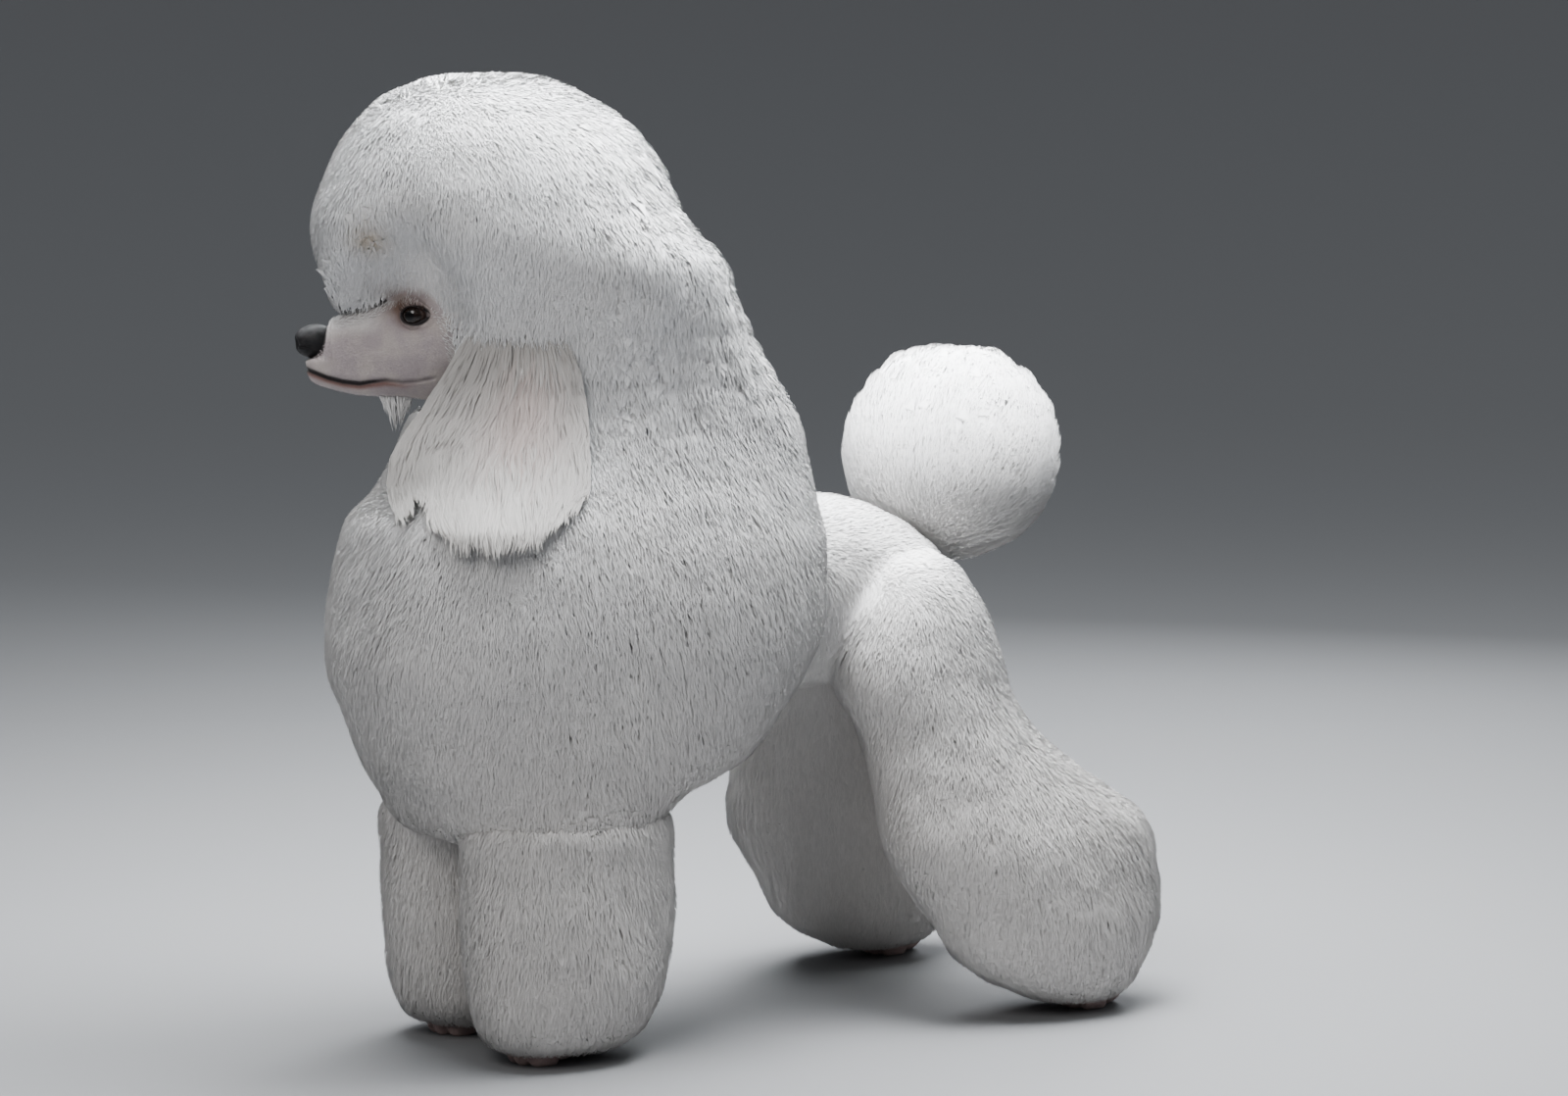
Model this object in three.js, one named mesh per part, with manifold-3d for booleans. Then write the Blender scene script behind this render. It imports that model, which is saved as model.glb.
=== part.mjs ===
// Standard poodle in a scissored show clip, standing, at life size.
// Millimetres, +Z up. The dog faces -X, its left side is towards -Y, and its head is turned to its right.
import * as THREE from "three";
import { mergeVertices } from "three/addons/utils/BufferGeometryUtils.js";
import Module from "manifold-3d";

const wasm = await Module();
wasm.setup();

// Gap between neighbouring nodes
const JOINT_GAP = 0.3;
// Seed of the small irregularities of the coat
const COAT_SEED = 41;

// Head turn and place of the head's own frame: forward to the nose, left to the dog's left, up
const HEAD_TURN = THREE.MathUtils.degToRad(33.5);
const HEAD_ORIGIN = new THREE.Vector3(-66, 70, 777);

// Slices of the coat from the chest up to the topknot.
// Each row: height, centre x, centre y, reach to the front, reach to the rear, half width, turn 0 to 1, squareness,
// and the share of the reach that the core of the coat takes
const MANE_ROWS = [
  [226, 18, 0, 40, 40, 50, 0, 2.2, 0.8],
  [229, 18, 0, 108, 96, 142, 0, 2.4, 0.8],
  [246, 18, 0, 131, 118, 168, 0, 2.4, 0.8],
  [271, 22, 0, 150, 156, 171, 0, 2.4, 0.8],
  [301, 35, 0, 182, 222, 174, 0, 2.5, 0.79],
  [350, 50, 0, 216, 256, 180, 0, 2.6, 0.78],
  [402, 60, 0, 246, 280, 185, 0, 2.7, 0.77],
  [443, 65, 0, 254, 290, 187, 0, 2.7, 0.77],
  [488, 70, 0, 252, 290, 185, 0, 2.7, 0.77],
  [528, 75, 0, 249, 287, 180, 0, 2.7, 0.77],
  [567, 82, 0, 246, 271, 171, 0, 2.6, 0.76],
  [608, 95, 0, 218, 250, 157, 0.05, 2.5, 0.73],
  [650, 100, 0, 205, 240, 146, 0.15, 2.3, 0.69],
  [700, 96, 4, 176, 212, 140, 0.35, 2.2, 0.66],
  [745, 72, 8, 160, 200, 144, 0.6, 2.1, 0.65],
  [785, 46, 10, 214, 208, 155, 0.85, 2.1, 0.65],
  [830, 23, 11, 215, 215, 164, 1, 2, 0.65],
  [875, 4, 23, 199, 199, 165, 1, 2, 0.65],
  [924, 0, 26, 180, 180, 153, 1, 2, 0.65],
  [965, -2, 27, 156, 156, 132, 1, 2, 0.65],
  [996, -4, 28, 124, 120, 102, 1, 2, 0.65],
  [1018, -6, 28, 84, 80, 68, 1, 2, 0.65],
  [1030, -8, 28, 38, 36, 30, 1, 2, 0.65],
];
const TOPKNOT_CORE_BASE = 785;
const MANE_CLUMP = { spacing: 160, halfWidth: 115, root: 24 };
const CHEST_NECK_CUT = 606;
const NECK_TOPKNOT_CUT = 772;
const LEG_TOP = 238;

// Side view of the clipped face, which the coat leaves free: forward and height in the head's frame
const FACE_OPENING = [
  [170, 4],
  [52, 4],
  [34, 14],
  [8, 22],
  [-22, 18],
  [-48, 2],
  [-66, -26],
  [-62, -80],
  [-34, -100],
  [20, -104],
  [170, -112],
];

// Clipped head, rows from the occiput to the lips: forward, top, bottom, half width, narrowing of the jaw, squareness
const HEAD_ROWS = [
  [-134, 8, -30, 10, 0, 2],
  [-128, 26, -48, 30, 0, 2],
  [-108, 44, -78, 50, 0.1, 2],
  [-75, 56, -92, 58, 0.15, 2.1],
  [-42, 57, -94, 59, 0.2, 2.2],
  [-18, 50, -92, 55, 0.25, 2.3],
  [2, 38, -89, 48, 0.3, 2.4],
  [20, 20, -87, 40, 0.32, 2.5],
  [36, 7, -86.5, 34, 0.32, 2.6],
  [56, 2, -86, 29.5, 0.3, 2.6],
  [78, -2, -83, 26.5, 0.28, 2.6],
  [97, -6, -78, 24, 0.25, 2.5],
  [110, -11, -73.5, 20, 0.2, 2.4],
  [117, -20, -67, 14, 0.15, 2.2],
  [120, -34, -56, 6, 0.1, 2],
];
const MOUTH_LINE = [
  [-19, -65],
  [16, -71],
  [62, -72],
  [96, -66],
  [119, -57],
];
const LIPS = { out: 3.4, up: 6.5, sink: 1.4 };
const MOUTH_GROOVE = { out: 2.2, up: 1.3, sink: -1.2 };
const NOSE = { forward: 111, up: -29, length: 21, width: 18, height: 18 };
const NOSTRIL = { forward: 128, left: 8.5, up: -29, length: 9, width: 3.2, height: 4 };
const EYE = { forward: 1, side: 40, up: 1, radius: 14, lid: 3, halfLength: 13.5, halfHeight: 8.5, slant: 0.12 };

// Hanging ears in the head's frame: height, front and rear edge (forward), inner distance from the middle
const EAR_ROWS = [
  [8, -80, -100, 44],
  [-4, -62, -126, 48],
  [-30, -54, -158, 66],
  [-60, -34, -186, 92],
  [-90, -12, -200, 112],
  [-118, 6, -200, 126],
  [-150, 22, -192, 138],
  [-180, 26, -176, 150],
  [-208, 12, -160, 164],
  [-226, -14, -136, 172],
  [-236, -50, -100, 178],
];
const EAR_OPEN = 260;
const EAR_LEATHER = { top: 8, bottom: -128, thickness: 11, bulge: 16, gap: 9 };
// Share of a lock's length and of its width, from root to tip
const EAR_LOCK_ROWS = [
  [0, 0.5],
  [0.3, 1],
  [0.76, 0.9],
  [1, 0.3],
];
const EAR_LOCK = { width: 50, thickness: 15, columns: 4, rows: 3, length: 112, curl: 12, top: -12, step: 58 };

// Loin and rump, rows along the back: x, top, bottom, half width
const TRUNK_ROWS = [
  [296, 470, 450, 10],
  [298, 560, 372, 84],
  [330, 571, 356, 97],
  [370, 572, 354, 98],
  [410, 569, 362, 101],
  [445, 559, 366, 106],
  [480, 541, 366, 108],
  [512, 516, 368, 102],
  [540, 484, 374, 84],
  [560, 448, 384, 52],
  [567, 426, 408, 14],
];
const LOIN_RUMP_CUT = 420;

// Hind leg, rows by height: height, x, distance from the middle, half length, half width
const HIND_ROWS = [
  [8, 604, 184, 30, 26],
  [10, 604, 184, 50, 42],
  [22, 601, 182, 76, 60],
  [45, 592, 178, 106, 76],
  [70, 587, 173, 128, 86],
  [102, 584, 167, 145, 92],
  [143, 572, 158, 160, 96],
  [176, 564, 151, 170, 97],
  [203, 556, 145, 170, 95],
  [228, 543, 138, 158, 92],
  [257, 519, 130, 136, 88],
  [309, 485, 116, 106, 82],
  [357, 462, 103, 104, 82],
  [400, 458, 92, 100, 84],
  [449, 459, 81, 83, 80],
  [490, 462, 70, 58, 62],
  [512, 464, 62, 26, 30],
];
const HIND_CLUMP = { spacing: 130, halfWidth: 94, root: 20, core: 0.6 };
const THIGH_CUT = 318;
const HIND_SHIFT = { left: [0, 0], right: [-18, -12] };

// Front leg, rows by height: height, x, distance from the middle, half length, half width
const FORE_ROWS = [
  [7, 6, 86, 30, 26],
  [9, 6, 86, 56, 44],
  [22, 9, 86, 84, 66],
  [45, 13, 86, 102, 79],
  [75, 16, 86, 113, 84.5],
  [110, 18, 86, 119, 85.6],
  [160, 18, 86, 122, 85.6],
  [200, 18, 86, 121, 85.6],
  [244, 18, 86, 122, 85.6],
  [262, 18, 86, 100, 70],
  [264, 18, 86, 30, 22],
];
const FORE_CLUMP = { spacing: 120, halfWidth: 86, root: 20, core: 0.6 };

// Feet: place of the toes' middle, length, width and height
const FORE_FOOT = { x: -10, y: 86, length: 84, width: 54, height: 38, pastern: 19, top: 96 };
const HIND_FOOT = { x: 634, y: 186, length: 80, width: 50, height: 36, pastern: 17, top: 96 };

const CLAW = { length: 9, drop: 5, radius: 3 };

// Tail: clipped root and round pompon
const TAIL_ROOT = new THREE.Vector3(494, 2, 498);
const TAIL_END = new THREE.Vector3(590, 8, 604);
const TAIL_RADIUS = 17;
const POM = { x: 586, y: 20, z: 602, radius: 123, core: 62 };
const POM_CLUMP = { spacing: 108, halfWidth: 78, root: 20 };

// Outline of a clump from root to tip: share of the half width out from its axis, and down from the tip
const CLUMP_OUTLINE = [
  [1, 0.5],
  [0.6, 0.12],
  [0, 0],
];
const CLUMP_ROOT = 0.55;
const CLUMP_LEAST = 0.8;
const COAT_VARIES = { width: 0.08, out: 1.5 };
const COAT_SAMPLING = { step: 0.125, round: 72, passes: 12 };
const CLUMP_SIDES = 5;

// Finishes
const COAT_WHITE = { color: 0xe9e6e3, roughness: 0.95, metalness: 0 };
const CLIPPED_WHITE = { color: 0xd9cfcb, roughness: 0.9, metalness: 0 };
const NOSE_BLACK = { color: 0x1b1a1c, roughness: 0.45, metalness: 0 };
const EYE_BROWN = { color: 0x1c120e, roughness: 0.1, metalness: 0 };

// Value between the rows of a table, smooth through every row
function blendRows(rows, t) {
  const last = rows.length - 1;
  const i = Math.min(Math.floor(t), last - 1);
  const f = t - i;
  const at = (k) => rows[Math.max(0, Math.min(last, k))];
  return rows[i].map((_, c) => {
    const [a, b, d, e] = [at(i - 1)[c], at(i)[c], at(i + 1)[c], at(i + 2)[c]];
    return 0.5 * (2 * b + (d - a) * f + (2 * a - 5 * b + 4 * d - e) * f * f + (3 * b - a - 3 * d + e) * f ** 3);
  });
}

// Closed surface through rings of equal point count, with a pole at each end
function skinRings(rings) {
  const sides = rings[0].length;
  const middle = (ring) => ring.reduce((sum, p) => sum.add(p), new THREE.Vector3()).divideScalar(ring.length);
  const points = [...rings.flat(), middle(rings[0]), middle(rings[rings.length - 1])];
  const index = [];
  for (let r = 0; r + 1 < rings.length; r++) {
    for (let s = 0; s < sides; s++) {
      const [a, b] = [r * sides + s, r * sides + ((s + 1) % sides)];
      index.push(a, b, b + sides, a, b + sides, a + sides);
    }
  }
  const [low, high, top] = [points.length - 2, points.length - 1, (rings.length - 1) * sides];
  for (let s = 0; s < sides; s++) {
    const next = (s + 1) % sides;
    index.push(low, next, s, high, top + s, top + next);
  }
  const geometry = new THREE.BufferGeometry().setFromPoints(points);
  geometry.setIndex(index);
  return geometry;
}

// Closed geometry as a solid that can be joined and cut, turned outwards if it is inside out
function solidOf(geometry) {
  const bare = geometry.clone();
  bare.deleteAttribute("normal");
  bare.deleteAttribute("uv");
  const merged = mergeVertices(bare, 1e-4);
  const make = (triVerts) =>
    new wasm.Manifold(
      new wasm.Mesh({ numProp: 3, vertProperties: new Float32Array(merged.attributes.position.array), triVerts }),
    );
  const triVerts = new Uint32Array(merged.index.array);
  const solid = make(triVerts);
  if (solid.volume() > 0) return solid;
  for (let i = 0; i < triVerts.length; i += 3) {
    [triVerts[i + 1], triVerts[i + 2]] = [triVerts[i + 2], triVerts[i + 1]];
  }
  return make(triVerts);
}

// The largest closed surface of a solid
function largest(solid) {
  return solid.decompose().reduce((best, body) => (body.volume() > best.volume() ? body : best));
}

// Solids fused into one closed surface, with no hollow left inside
function joinAll(solids) {
  return largest(solids.reduce((sum, solid) => sum.add(solid)));
}

// Large block that keeps or removes one side of a level or upright cut
function block(min, max) {
  const geometry = new THREE.BoxGeometry(max[0] - min[0], max[1] - min[1], max[2] - min[2]);
  geometry.translate((min[0] + max[0]) / 2, (min[1] + max[1]) / 2, (min[2] + max[2]) / 2);
  return solidOf(geometry);
}
const FAR = 2000;
const between = (axis, low, high) => {
  const [min, max] = [[-FAR, -FAR, -FAR], [FAR, FAR, FAR]];
  min[axis] = low;
  max[axis] = high;
  return block(min, max);
};

// Point of the head's frame in the dog's frame
const headForward = new THREE.Vector3(-Math.cos(HEAD_TURN), Math.sin(HEAD_TURN), 0);
const headLeft = new THREE.Vector3(-Math.sin(HEAD_TURN), -Math.cos(HEAD_TURN), 0);
function headPoint(forward, left, up) {
  return HEAD_ORIGIN.clone()
    .addScaledVector(headForward, forward)
    .addScaledVector(headLeft, left)
    .add(new THREE.Vector3(0, 0, up));
}

// Rounded outline: cosine and sine raised so that a squareness of 2 is an ellipse
function roundedPair(angle, squareness) {
  const power = (v) => Math.sign(v) * Math.abs(v) ** (2 / squareness);
  return [power(Math.cos(angle)), power(Math.sin(angle))];
}

// Point on the coat of chest, neck and topknot: t along the rows, angle 0 at the rear
function manePoint(t, angle, grow = 0) {
  const [z, x, y, front, rear, half, turn, square] = blendRows(MANE_ROWS, t);
  const [c, s] = roundedPair(angle, square);
  const along = c * ((c > 0 ? rear : front) + grow);
  const across = s * (half + grow);
  const yaw = turn * HEAD_TURN;
  return new THREE.Vector3(
    x + along * Math.cos(yaw) + across * Math.sin(yaw),
    y - along * Math.sin(yaw) + across * Math.cos(yaw),
    z,
  );
}

// Point on the core under that coat
function maneCorePoint(t, angle) {
  const row = blendRows(MANE_ROWS, t);
  const share = row[8];
  const [z, x, y] = row;
  const outer = manePoint(t, angle);
  const lowered = z > TOPKNOT_CORE_BASE ? TOPKNOT_CORE_BASE + (z - TOPKNOT_CORE_BASE) * share : z;
  return new THREE.Vector3(x + (outer.x - x) * share, y + (outer.y - y) * share, lowered);
}

// Point on a leg's coat: the side is -1 for the dog's left and 1 for its right
function legPoint(rows, side, shift, t, angle, grow = 0) {
  const [z, x, y, long, wide] = blendRows(rows, t);
  const [c, s] = roundedPair(angle, 2.1);
  return new THREE.Vector3(x + shift[0] + c * (long + grow), side * (y + shift[1]) + s * (wide + grow), z);
}

// Point on the core of a leg's coat
function coreOfLeg(rows, side, shift, share, t, angle) {
  const [z, x, y] = blendRows(rows, t);
  const outer = legPoint(rows, side, shift, t, angle);
  const centre = new THREE.Vector3(x + shift[0], side * (y + shift[1]), z);
  return outer.sub(centre).multiplyScalar(share).add(centre);
}

function trunkPoint(t, angle, grow = 0) {
  const [x, top, bottom, half] = blendRows(TRUNK_ROWS, t);
  const [c, s] = roundedPair(angle, 2.2);
  return new THREE.Vector3(x, s * (half + grow), (top + bottom) / 2 + c * ((top - bottom) / 2 + grow));
}

function headSurface(t, angle, grow = 0) {
  const [forward, top, bottom, half, jaw, square] = blendRows(HEAD_ROWS, t);
  const [c, s] = roundedPair(angle, square);
  const narrow = 1 - jaw * Math.max(0, -c);
  const height = (top - bottom) / 2;
  return headPoint(forward, s * (half * narrow + grow), (top + bottom) / 2 + c * (height + grow));
}

// Direction out of a surface and the direction down along it
function surfaceFrame(pointAt, t, angle) {
  const step = 0.02;
  const here = pointAt(t, angle);
  const up = pointAt(t + step, angle).sub(pointAt(t - step, angle));
  const round = pointAt(t, angle + step).sub(pointAt(t, angle - step));
  const outward = round.cross(up).normalize();
  const lie = up.addScaledVector(outward, -up.dot(outward)).normalize().negate();
  return { here, outward, lie };
}

// Places spread evenly over a surface, about one spacing apart: samples gather round the nearest place, and each
// place then moves to the middle of its samples
function coatPlaces(pointAt, tLow, tHigh, spacing) {
  const samples = [];
  for (let t = tLow; t <= tHigh; t += COAT_SAMPLING.step) {
    for (let k = 0; k < COAT_SAMPLING.round; k++) {
      const angle = (k / COAT_SAMPLING.round) * 2 * Math.PI;
      const here = pointAt(t, angle);
      const along = pointAt(t + COAT_SAMPLING.step, angle).distanceTo(here);
      const across = pointAt(t, angle + (2 * Math.PI) / COAT_SAMPLING.round).distanceTo(here);
      samples.push({ t, angle, here, area: along * across, nearest: 0, gap: Infinity });
    }
  }
  const total = samples.reduce((sum, sample) => sum + sample.area, 0);
  const count = Math.max(1, Math.round(total / (spacing * spacing * Math.sqrt(0.75))));
  let places = [];
  let next = samples[0];
  while (places.length < count) {
    places.push(next);
    for (const sample of samples) sample.gap = Math.min(sample.gap, sample.here.distanceTo(next.here));
    next = samples.reduce((far, sample) => (sample.gap > far.gap ? sample : far));
  }
  const nearestOf = (point, list) =>
    list.reduce((best, other, i) => (other.here.distanceTo(point) < list[best].here.distanceTo(point) ? i : best), 0);
  for (let pass = 0; pass < COAT_SAMPLING.passes; pass++) {
    const sums = places.map(() => ({ point: new THREE.Vector3(), area: 0 }));
    for (const sample of samples) {
      const sum = sums[nearestOf(sample.here, places)];
      sum.point.addScaledVector(sample.here, sample.area);
      sum.area += sample.area;
    }
    places = sums.map(({ point, area }) => samples[nearestOf(point.divideScalar(area), samples)]);
  }
  return places.map(({ t, angle }) => [t, angle]);
}

// Seeded irregularity between minus and plus the spread
function vary(spread) {
  return (THREE.MathUtils.seededRandom() * 2 - 1) * spread;
}

// Rounded clump of coat: its tip lies at a point, and its root reaches a length inwards
function clump(tip, outward, lie, halfWidth, length) {
  const outline = CLUMP_OUTLINE.map(([out, down]) => new THREE.Vector2(out * halfWidth, -down * halfWidth));
  outline.unshift(new THREE.Vector2(0, -length), new THREE.Vector2(halfWidth * CLUMP_ROOT, -length));
  const geometry = new THREE.LatheGeometry(outline, CLUMP_SIDES, vary(1));
  const across = new THREE.Vector3().crossVectors(outward, lie);
  geometry.applyMatrix4(new THREE.Matrix4().makeBasis(across, outward, lie).setPosition(tip));
  return solidOf(geometry);
}

// Clumps over a surface, from its tips down into the core
function clumpCoat(pointAt, coreAt, tLow, tHigh, size, keep = () => true) {
  const clumps = [];
  for (const [t, angle] of coatPlaces(pointAt, tLow, tHigh, size.spacing)) {
    const { here, outward, lie } = surfaceFrame(pointAt, t, angle);
    if (!keep(here, outward)) continue;
    const width = size.halfWidth * (1 + vary(COAT_VARIES.width));
    const length = Math.max(here.distanceTo(coreAt(t, angle)) + size.root, width * CLUMP_LEAST);
    clumps.push(clump(here.addScaledVector(outward, vary(COAT_VARIES.out)), outward, lie, width, length));
  }
  return clumps;
}

// Closed solid of a surface function over its rows
function sweep(pointAt, rowCount, perRow, sides, grow = 0) {
  const steps = (rowCount - 1) * perRow;
  const rings = [];
  for (let k = 0; k <= steps; k++) {
    const t = (k / steps) * (rowCount - 1);
    rings.push(Array.from({ length: sides }, (_, s) => pointAt(t, (s / sides) * 2 * Math.PI, grow)));
  }
  return solidOf(skinRings(rings));
}

// Trunk, head and other smooth forms, grown by the joint gap where a neighbour is cut by them
const trunkSolid = (grow) => sweep(trunkPoint, TRUNK_ROWS.length, 1, 20, grow);
const headSolid = (grow) => sweep(headSurface, HEAD_ROWS.length, 1, 20, grow);

// Space that the hanging ear takes up, open outwards
function earSpace(side, grow) {
  const rings = EAR_ROWS.map(([up, front, rear, inner]) => {
    const middle = (front + rear) / 2;
    const reach = (front - rear) / 2 + grow;
    const outer = inner + EAR_OPEN;
    return Array.from({ length: 12 }, (_, k) => {
      const [c, s] = roundedPair((k / 12) * 2 * Math.PI, 3);
      const left = s < 0 ? inner + 20 + s * (20 + grow) : inner + 20 + s * (outer - inner);
      return headPoint(middle + c * reach, side * left, up + (up > 0 ? grow : up < -230 ? -grow : 0));
    });
  });
  return solidOf(skinRings(rings));
}

// Front edge, rear edge and inner distance of the hanging ear at a height
function earRow(up) {
  const k = Math.max(1, EAR_ROWS.findIndex((row) => row[0] <= up));
  const [above, below] = [EAR_ROWS[k - 1], EAR_ROWS[k]];
  const share = (above[0] - up) / (above[0] - below[0]);
  return above.map((value, c) => value + (below[c] - value) * share);
}

// Leather of the ear: a leaf that hangs round the cheek, hollow on its inner side
function earLeather(side) {
  const heights = [EAR_LEATHER.top - 2, -6, -30, -60, -92, EAR_LEATHER.bottom];
  const rings = heights.map((up, row) => {
    const [, front, rear, inner] = earRow(up);
    const reach = ((front - rear) / 2 - 4) * (row === heights.length - 1 ? 0.6 : 1);
    return Array.from({ length: 10 }, (_, k) => {
      const [c, s] = roundedPair((k / 10) * 2 * Math.PI, 2.2);
      const bulge = EAR_LEATHER.bulge * (1 - c * c);
      const left = inner + EAR_LEATHER.gap + bulge + (s * EAR_LEATHER.thickness) / 2;
      return headPoint((front + rear) / 2 + c * reach, side * left, up);
    });
  });
  return solidOf(skinRings(rings));
}

// Flat lock of the ear's fringe, from its root down to a tip that curls in
function earLock(side, place, top, length) {
  const rings = EAR_LOCK_ROWS.map(([share, wide]) => {
    const up = Math.max(top - share * length, EAR_ROWS[EAR_ROWS.length - 1][0] + 3);
    const [, front, rear, inner] = earRow(up);
    const across = (front + rear) / 2 + (place * (front - rear - EAR_LOCK.width * wide)) / 2;
    const leather = inner + EAR_LEATHER.gap + EAR_LEATHER.bulge * (1 - place * place);
    const out = leather + EAR_LOCK.thickness * (0.4 + share * 0.5);
    const curl = EAR_LOCK.curl * share * share * vary(1);
    return [
      [EAR_LOCK.width / 2, 0],
      [0, EAR_LOCK.thickness / 2],
      [-EAR_LOCK.width / 2, 0],
      [0, -EAR_LOCK.thickness / 2],
    ].map(([a, b]) => headPoint(across + a * wide + curl * 0.4, side * (out + b * wide - curl * 0.3), up));
  });
  return solidOf(skinRings(rings));
}

// Ear of leather and overlapping locks that reach its outline
function buildEar(side) {
  const locks = [];
  for (let row = 0; row < EAR_LOCK.rows; row++) {
    const top = EAR_LOCK.top - row * EAR_LOCK.step;
    for (let column = 0; column < EAR_LOCK.columns; column++) {
      const place = ((column + (row % 2 ? 0.5 : 0.15) + vary(0.08)) / EAR_LOCK.columns) * 2 - 0.9;
      locks.push(earLock(side, Math.max(-1, Math.min(1, place)), top, EAR_LOCK.length * (1 + vary(0.1))));
    }
  }
  return joinAll([earLeather(side), ...locks]);
}

// Prism of the face opening across the whole head
function faceSpace() {
  const ring = (left) => FACE_OPENING.map(([forward, up]) => headPoint(forward, left, up));
  return solidOf(skinRings([ring(-300), ring(300)]));
}

function ellipsoid(centre, radii, segments = 12, rings = 8) {
  const geometry = new THREE.SphereGeometry(1, segments, rings);
  geometry.rotateX(Math.PI / 2);
  geometry.scale(radii[0], radii[1], radii[2]);
  geometry.translate(centre.x, centre.y, centre.z);
  return solidOf(geometry);
}

// Ellipsoid whose axes follow the head: forward, left, up
function headEllipsoid(forward, left, up, radii, segments = 12, rings = 8) {
  const geometry = new THREE.SphereGeometry(1, segments, rings);
  geometry.scale(radii[0], radii[2], radii[1]);
  geometry.rotateX(Math.PI / 2);
  geometry.rotateZ(Math.PI - HEAD_TURN);
  const centre = headPoint(forward, left, up);
  geometry.translate(centre.x, centre.y, centre.z);
  return solidOf(geometry);
}

// Round bar between two points
function bar(from, to, radiusFrom, radiusTo, sides = 12) {
  const geometry = new THREE.CylinderGeometry(radiusTo, radiusFrom, from.distanceTo(to), sides);
  const direction = to.clone().sub(from).normalize();
  geometry.applyQuaternion(new THREE.Quaternion().setFromUnitVectors(new THREE.Vector3(0, 1, 0), direction));
  const middle = from.clone().add(to).divideScalar(2);
  geometry.translate(middle.x, middle.y, middle.z);
  return solidOf(geometry);
}

// Foot with four toes and their claws, cut flat at the floor, and a pastern that runs up into the leg
function foot(size, side, shift) {
  const [x, y] = [size.x + shift[0], side * (size.y + shift[1])];
  const parts = [];
  const toeWidth = size.width / 4;
  for (let toe = 0; toe < 4; toe++) {
    const across = (toe - 1.5) * toeWidth;
    const forward = toe === 1 || toe === 2 ? 0 : 9;
    const centre = new THREE.Vector3(x - size.length * 0.24 + forward, y + across, size.height * 0.36);
    parts.push(ellipsoid(centre, [size.length * 0.28, toeWidth * 0.66, size.height * 0.52], 6, 4));
    const root = centre.clone().add(new THREE.Vector3(-size.length * 0.18, 0, -CLAW.drop / 2));
    parts.push(bar(root, root.clone().add(new THREE.Vector3(-CLAW.length, 0, -CLAW.drop)), CLAW.radius, 0, 4));
  }
  const heel = new THREE.Vector3(x + size.length * 0.16, y, size.height * 0.42);
  parts.push(ellipsoid(heel, [size.length * 0.34, size.width * 0.42, size.height * 0.62], 8, 4));
  parts.push(pastern(size, x, y, 0));
  return joinAll(parts).subtract(between(2, -FAR, 0));
}

// Pastern inside the coat of the leg
function pastern(size, x, y, grow) {
  const low = new THREE.Vector3(x + size.length * 0.14, y, size.height * 0.5);
  const high = new THREE.Vector3(x + size.length * 0.2, y, size.top + grow);
  return bar(low, high, size.pastern * 1.15 + grow, size.pastern + grow, 8);
}

// Space that a foot takes up inside the coat of its leg
function footSpace(size, side, shift) {
  const [x, y] = [size.x + shift[0], side * (size.y + shift[1])];
  const centre = new THREE.Vector3(x, y, size.height * 0.3);
  const paw = ellipsoid(centre, [size.length * 0.64, size.width * 0.72, size.height], 10, 6);
  return paw.add(pastern(size, x, y, JOINT_GAP));
}

// Point of the clipped head's side at a place seen from the side
function headSide(forward, up) {
  let [low, high] = [0, HEAD_ROWS.length - 1];
  for (let step = 0; step < 30; step++) {
    const middle = (low + high) / 2;
    if (blendRows(HEAD_ROWS, middle)[0] < forward) low = middle;
    else high = middle;
  }
  const [, top, bottom, half, jaw, square] = blendRows(HEAD_ROWS, low);
  const c = (up - (top + bottom) / 2) / ((top - bottom) / 2);
  const narrow = 1 - jaw * Math.max(0, -c);
  return half * narrow * Math.max(0, 1 - Math.abs(c) ** square) ** (1 / square);
}

// Cord along the line of the mouth on one side, from its corner to the middle under the nose
function mouthCord(side, size) {
  const path = MOUTH_LINE.map(([forward, up]) =>
    headPoint(forward, side * Math.max(0, headSide(forward, up) - size.sink), up),
  );
  const rings = path.map((point, k) => {
    const ahead = path[Math.min(k + 1, path.length - 1)].clone().sub(path[Math.max(k - 1, 0)]).normalize();
    const across = new THREE.Vector3(0, 0, 1).cross(ahead).normalize();
    const up = ahead.clone().cross(across);
    const share = k === 0 ? 0.6 : 1;
    return Array.from({ length: 4 }, (_, s) => {
      const angle = (s / 4) * 2 * Math.PI;
      return point
        .clone()
        .addScaledVector(across, Math.cos(angle) * size.out * share)
        .addScaledVector(up, Math.sin(angle) * size.up * share);
    });
  });
  return solidOf(skinRings(rings));
}

// Opening between the lids, an almond that reaches from the eye outwards
function lidOpening(side) {
  const outline = Array.from({ length: 10 }, (_, k) => {
    const angle = (k / 10) * 2 * Math.PI;
    const along = Math.cos(angle) * EYE.halfLength;
    const rise = Math.sin(angle) * EYE.halfHeight * (1 - 0.25 * Math.abs(Math.cos(angle)));
    return [EYE.forward + along, EYE.up + rise - along * EYE.slant];
  });
  const ring = (left) => outline.map(([forward, up]) => headPoint(forward, side * left, up));
  return solidOf(skinRings([ring(EYE.side), ring(EYE.side + 2 * EYE.radius)]));
}

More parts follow.
